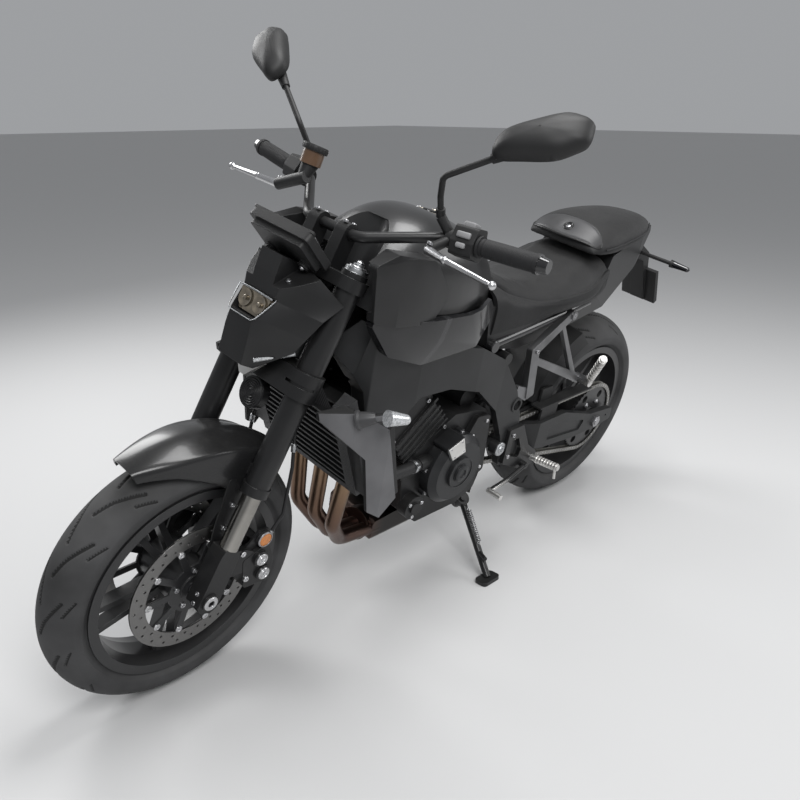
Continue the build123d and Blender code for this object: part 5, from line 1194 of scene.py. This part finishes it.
def engine_fittings():
    """Cover screws, head screws, the hub's plug, the bare plate and the hose clip."""
    rows = bolt_circle((0.72, 0.138, 0.395), 0.098, 8, 12, LEFT)
    rows += bolt_circle((0.846, 0.148, 0.318), 0.025, 3, 40, LEFT)
    for x, z in ((0.585, 0.345), (0.655, 0.352), (0.648, 0.462), (0.6, 0.494)):
        rows.append(((x, 0.136, z), LEFT))
    screws("left_cover_screws", rows, 0.005, SILVER, "chassis")
    rows = bolt_circle((0.65, -0.184, 0.392), 0.072, 10, 10, RIGHT)
    for side in (1, -1):
        for ahead in (-0.066, 0.066):
            for up in (0.21, 0.275):
                rows.append((along_bank(up, ahead, side * 0.1085), LEFT * side))
        for ahead in (-0.06, 0.06):
            rows.append((along_bank(0.104, ahead, side * 0.1225), LEFT * side))
    screws("engine_screws", rows, 0.0058, STEEL, "chassis")
    plug = [(0, 0), (0.0235, 0), (0.0235, 0.002), (0.0215, 0.0035), (0.0125, 0.0035), (0.0115, 0.001),
            (0, 0.001)]
    hub = Shape().add(turned(plug, 36), aim((0.72, 0.178, 0.395), LEFT))
    hub.add(ring(0.04, 0.0435, 0.0015, 0.0006, 48), aim((0.72, 0.175, 0.395), LEFT))
    piece("cover_plug", hub, [COVER], "chassis")
    plate = [(0.716, 0.456), (0.762, 0.445), (0.786, 0.483), (0.732, 0.501)]
    flat = plane_at((0, 0.1708, 0), FORWARD, LEFT)
    shape = Shape().add(slab([(x, -z) for x, z in plate], 0, 0.0016, 0.0006), flat, 0)
    for x, z in ((0.724, 0.461), (0.757, 0.453), (0.775, 0.481), (0.738, 0.492)):
        shape.add(screw(0.0024), aim((x, 0.1722, z), LEFT), 1)
    piece("cover_plate", shape, [PALE, STEEL], "chassis")
    clip = turned([(0.0152, 0), (0.0166, 0), (0.0166, 0.003), (0.016, 0.0036), (0.016, 0.005),
                   (0.0166, 0.0056), (0.0166, 0.0086), (0.0152, 0.0086)], 32)
    spigot = (0.05, 0.003, 0.004)
    clips = Shape().add(clip, aim((0.862, 0.1346, 0.442), spigot))
    clips.add(rounded((0.01, 0.008, 0.01), 0.002), aim((0.866, 0.15, 0.451), spigot))
    piece("hose_clips", clips, [ALLOY], "chassis")


def header_nuts():
    """Nuts at the three header flanges."""
    nuts = Shape()
    for y in (-0.084, 0, 0.084):
        flange = aim(along_bank(0.3365, 0.004, y), BANK_UP)
        for across in (-0.0215, 0.0215):
            nuts.add(nut(0.0062, 0.006), flange @ at(0, across, -0.012))
    piece("header_nuts", nuts, [STEEL], "chassis")


engine_fittings()
header_nuts()
STALK = Vector((1.16, 0.196, 0.694))
STALK_REACH = Vector((-0.048, 0.062, 0.03))
LENS_PATH = ((1.092, 0.272, 0.716), (1.134, 0.262, 0.726))


def shroud_finish(place, normal):
    """The indicator's lens, dark inner faces, or the grey outer skin."""
    side = math.copysign(1, place.y)
    if near_path(sided(place, side), LENS_PATH, 0.0185):
        return 1
    return 0 if normal.y * side > 0.2 else 2


def shroud_fittings():
    """The shroud's dark rear edge, the indicators' bases and bright lenses."""
    edge = Shape()
    strip = [(1.088, -0.666), (1.036, -0.48), (1.022, -0.486), (1.074, -0.676)]
    flat = plane_at((0, 0, 0), FORWARD, LEFT)
    base = turned([(0, 0), (0.021, 0), (0.021, 0.005), (0.0165, 0.008), (0.015, 0.02), (0.0125, 0.032),
                   (0.0095, 0.04)], 28)
    for side, low, high in ((1, 0.219, 0.23), (-1, -0.23, -0.219)):
        edge.add(slab(strip, low, high, 0.002), flat, 0)
        edge.add(base, aim(sided(STALK + STALK_REACH * 0.1, side), sided(STALK_REACH, side)), 1)
    piece("shroud_edges", edge, [PLASTIC, GREY_PANEL], "chassis")
    for node in ("shroud_left", "shroud_right"):
        paint(node, [SHROUD, CLEAR, PLASTIC], shroud_finish)


shroud_fittings()


# Chain, swingarm, feet and stand
CHAIN_PITCH = 0.015875
FRONT_SPROCKET = Vector((0.6, 0.385))
CHAIN_LINKS = 108


def chain_line():
    """The chain's line round both sprockets, as a list of evenly spaced places (x, z)."""
    rear = Vector((0.0, REAR_RADIUS))
    rear_r = CHAIN_PITCH / (2 * math.sin(math.pi / 45))
    front_r = CHAIN_PITCH / (2 * math.sin(math.pi / 16))
    run = FRONT_SPROCKET - rear
    heading = math.atan2(run.y, run.x)
    lean = math.acos((rear_r - front_r) / run.length)
    line = []
    for centre, radius, turn0, turn1 in ((rear, rear_r, lean, 2 * math.pi - lean),
                                         (FRONT_SPROCKET, front_r, -lean, lean)):
        for step in range(61):
            turn = heading + turn0 + (turn1 - turn0) * step / 60
            line.append((centre.x + radius * math.cos(turn), centre.y + radius * math.sin(turn)))
    line.append(line[0])
    line = np.array(line)
    length = np.concatenate([[0], np.cumsum(np.hypot(*np.diff(line, axis=0).T))])
    at = np.linspace(0, length[-1], CHAIN_LINKS, endpoint=False)
    return [(float(np.interp(a, length, line[:, 0])), float(np.interp(a, length, line[:, 1]))) for a in at]


def drive_fittings():
    """The chain's pin heads and the arm pivot's caps."""
    pins = Shape()
    head = turned([(0.0026, -0.0005), (0.0026, 0.0006), (0.0019, 0.0011), (0, 0.0011)], 10)
    for x, z in chain_line():
        pins.add(head, aim((x, 0.114, z), LEFT))
    piece("chain_pins", pins, [STEEL], "chassis")
    collar = [(0.011, 0), (0.0205, 0), (0.0205, 0.003), (0.019, 0.0045), (0.011, 0.0045), (0.011, 0)]
    bolt = [(0, 0), (0.0115, 0), (0.0115, 0.006), (0.01, 0.008), (0.006, 0.008), (0.0052, 0.003), (0, 0.003)]
    caps = Shape()
    for side in (1, -1):
        caps.add(turned(collar, 32), aim((0.52, side * 0.1452, 0.384), LEFT * side))
        caps.add(turned(bolt, 20), aim((0.52, side * 0.145, 0.384), LEFT * side))
    piece("pivot_caps", caps, [ALLOY], "chassis")


drive_fittings()


PEG_PATH = ((0.176, 0.168, 0.516), (0.276, 0.242, 0.648))


def foot_finish(place, normal):
    """Bright pegs and a bright lever toe on dark brackets."""
    on_peg = abs(place.y) > 0.156 and abs(place.x - 0.353) < 0.03 and abs(place.z - 0.31) < 0.03
    toe = abs(place.y) > 0.174 and place.x > 0.5
    return 1 if on_peg or toe else 0


def pillion_peg_finish(place, normal):
    """A bright peg on a grey arm."""
    return 1 if near_path(Vector((place.x, abs(place.y), place.z)), PEG_PATH, 0.016) else 0


def feet():
    """Finishes of the foot brackets and pillion pegs, and their screws."""
    for side_name in ("left", "right"):
        paint("foot_" + side_name, [SATIN, PALE], foot_finish)
        paint("pillion_peg_" + side_name, [ARM_GREY, PALE], pillion_peg_finish)
    rows = []
    for side in (1, -1):
        for place in ((0.482, 0.154, 0.42), (0.486, 0.154, 0.352), (0.308, 0.138, 0.738),
                      (0.446, 0.138, 0.66)):
            rows.append((sided(place, side), LEFT * side))
    screws("bracket_screws", rows, 0.0065, STEEL, "chassis")


feet()


SPRING_COILS = 16
COIL_STEPS = 12
SPRING_START = 0.04
SPRING_LENGTH = 0.092
COIL_RADIUS = 0.0062
WIRE = 0.0013


def stand_spring():
    """The coil spring along the side stand's leg."""
    pivot, foot = Vector((0.565, 0.092, 0.2)), Vector((0.6186, 0.2713, 0.0559))
    along = (foot - pivot).normalized()
    side = along.cross(UP).normalized()
    up = side.cross(along)
    middle = pivot + up * 0.019
    path = []
    steps = SPRING_COILS * COIL_STEPS
    for step in range(steps + 1):
        turn = 2 * math.pi * step / COIL_STEPS
        reach = SPRING_START + SPRING_LENGTH * step / steps
        path.append(middle + along * reach + (side * math.cos(turn) + up * math.sin(turn)) * COIL_RADIUS)
    spring = Shape().add(tube(path, WIRE, 6))
    for reach, back in ((SPRING_START, -0.02), (SPRING_START + SPRING_LENGTH, 0.014)):
        end = middle + along * reach
        hook = [end + side * COIL_RADIUS, end + along * back * 0.5, end + along * back - up * 0.012]
        spring.add(tube(hook, WIRE, 6))
    piece("stand_spring", spring, [STEEL], "side_stand")


stand_spring()


# Floor, light and camera
def floor():
    """A plain pale floor that runs far behind the bike."""
    mesh = bpy.data.meshes.new("floor")
    size = 40.0
    corners = [(-size, -size, 0), (size, -size, 0), (size, size, 0), (-size, size, 0)]
    mesh.from_pydata(corners, [], [(0, 1, 2, 3)])
    obj = bpy.data.objects.new("floor", mesh)
    bpy.context.collection.objects.link(obj)
    mat, tree, shader = fresh("floor_pale")
    feed(tree, shader, {"Base Color": (0.56, 0.56, 0.56, 1), "Roughness": 0.9})
    mesh.materials.append(mat)


def area_light(name, place, target, size, power):
    """A soft square lamp aimed at a point."""
    data = bpy.data.lights.new(name, "AREA")
    data.size = size
    data.energy = power
    obj = bpy.data.objects.new(name, data)
    bpy.context.collection.objects.link(obj)
    obj.location = place
    obj.rotation_mode = "QUATERNION"
    obj.rotation_quaternion = (Vector(target) - Vector(place)).to_track_quat("-Z", "Y")


def studio():
    """Soft lamps, a pale world and the photograph's camera."""
    scene = bpy.context.scene
    scene.view_settings.view_transform = "Standard"
    world = bpy.data.worlds.new("studio")
    scene.world = world
    world.use_nodes = True
    back = world.node_tree.nodes["Background"]
    back.inputs["Color"].default_value = (0.85, 0.87, 0.9, 1)
    back.inputs["Strength"].default_value = 0.4
    area_light("key", (1.7, 2.6, 3.4), (0, 0, 0.5), 1.6, 105)
    area_light("top", (-0.2, 0.3, 3.3), (0, 0, 0.5), 1.3, 58)
    area_light("fill", (-2.6, 2.2, 2.0), (0, 0, 0.5), 1.8, 36)
    area_light("rim", (0.2, -2.6, 2.4), (0, 0, 0.6), 1.4, 50)
    data = bpy.data.cameras.new("camera")
    data.sensor_width = 36.0
    data.lens = 35.77
    data.shift_x = 0.0215
    data.shift_y = 0.0063
    camera = bpy.data.objects.new("camera", data)
    bpy.context.collection.objects.link(camera)
    camera.location = rear_place + Vector((2.142, 1.3588, 0.9137))
    azimuth, pitch = math.radians(-134.35), math.radians(-20.57)
    look = Vector((math.cos(azimuth) * math.cos(pitch), math.sin(azimuth) * math.cos(pitch), math.sin(pitch)))
    camera.rotation_mode = "QUATERNION"
    camera.rotation_quaternion = look.to_track_quat("-Z", "Y")
    scene.camera = camera


floor()
studio()
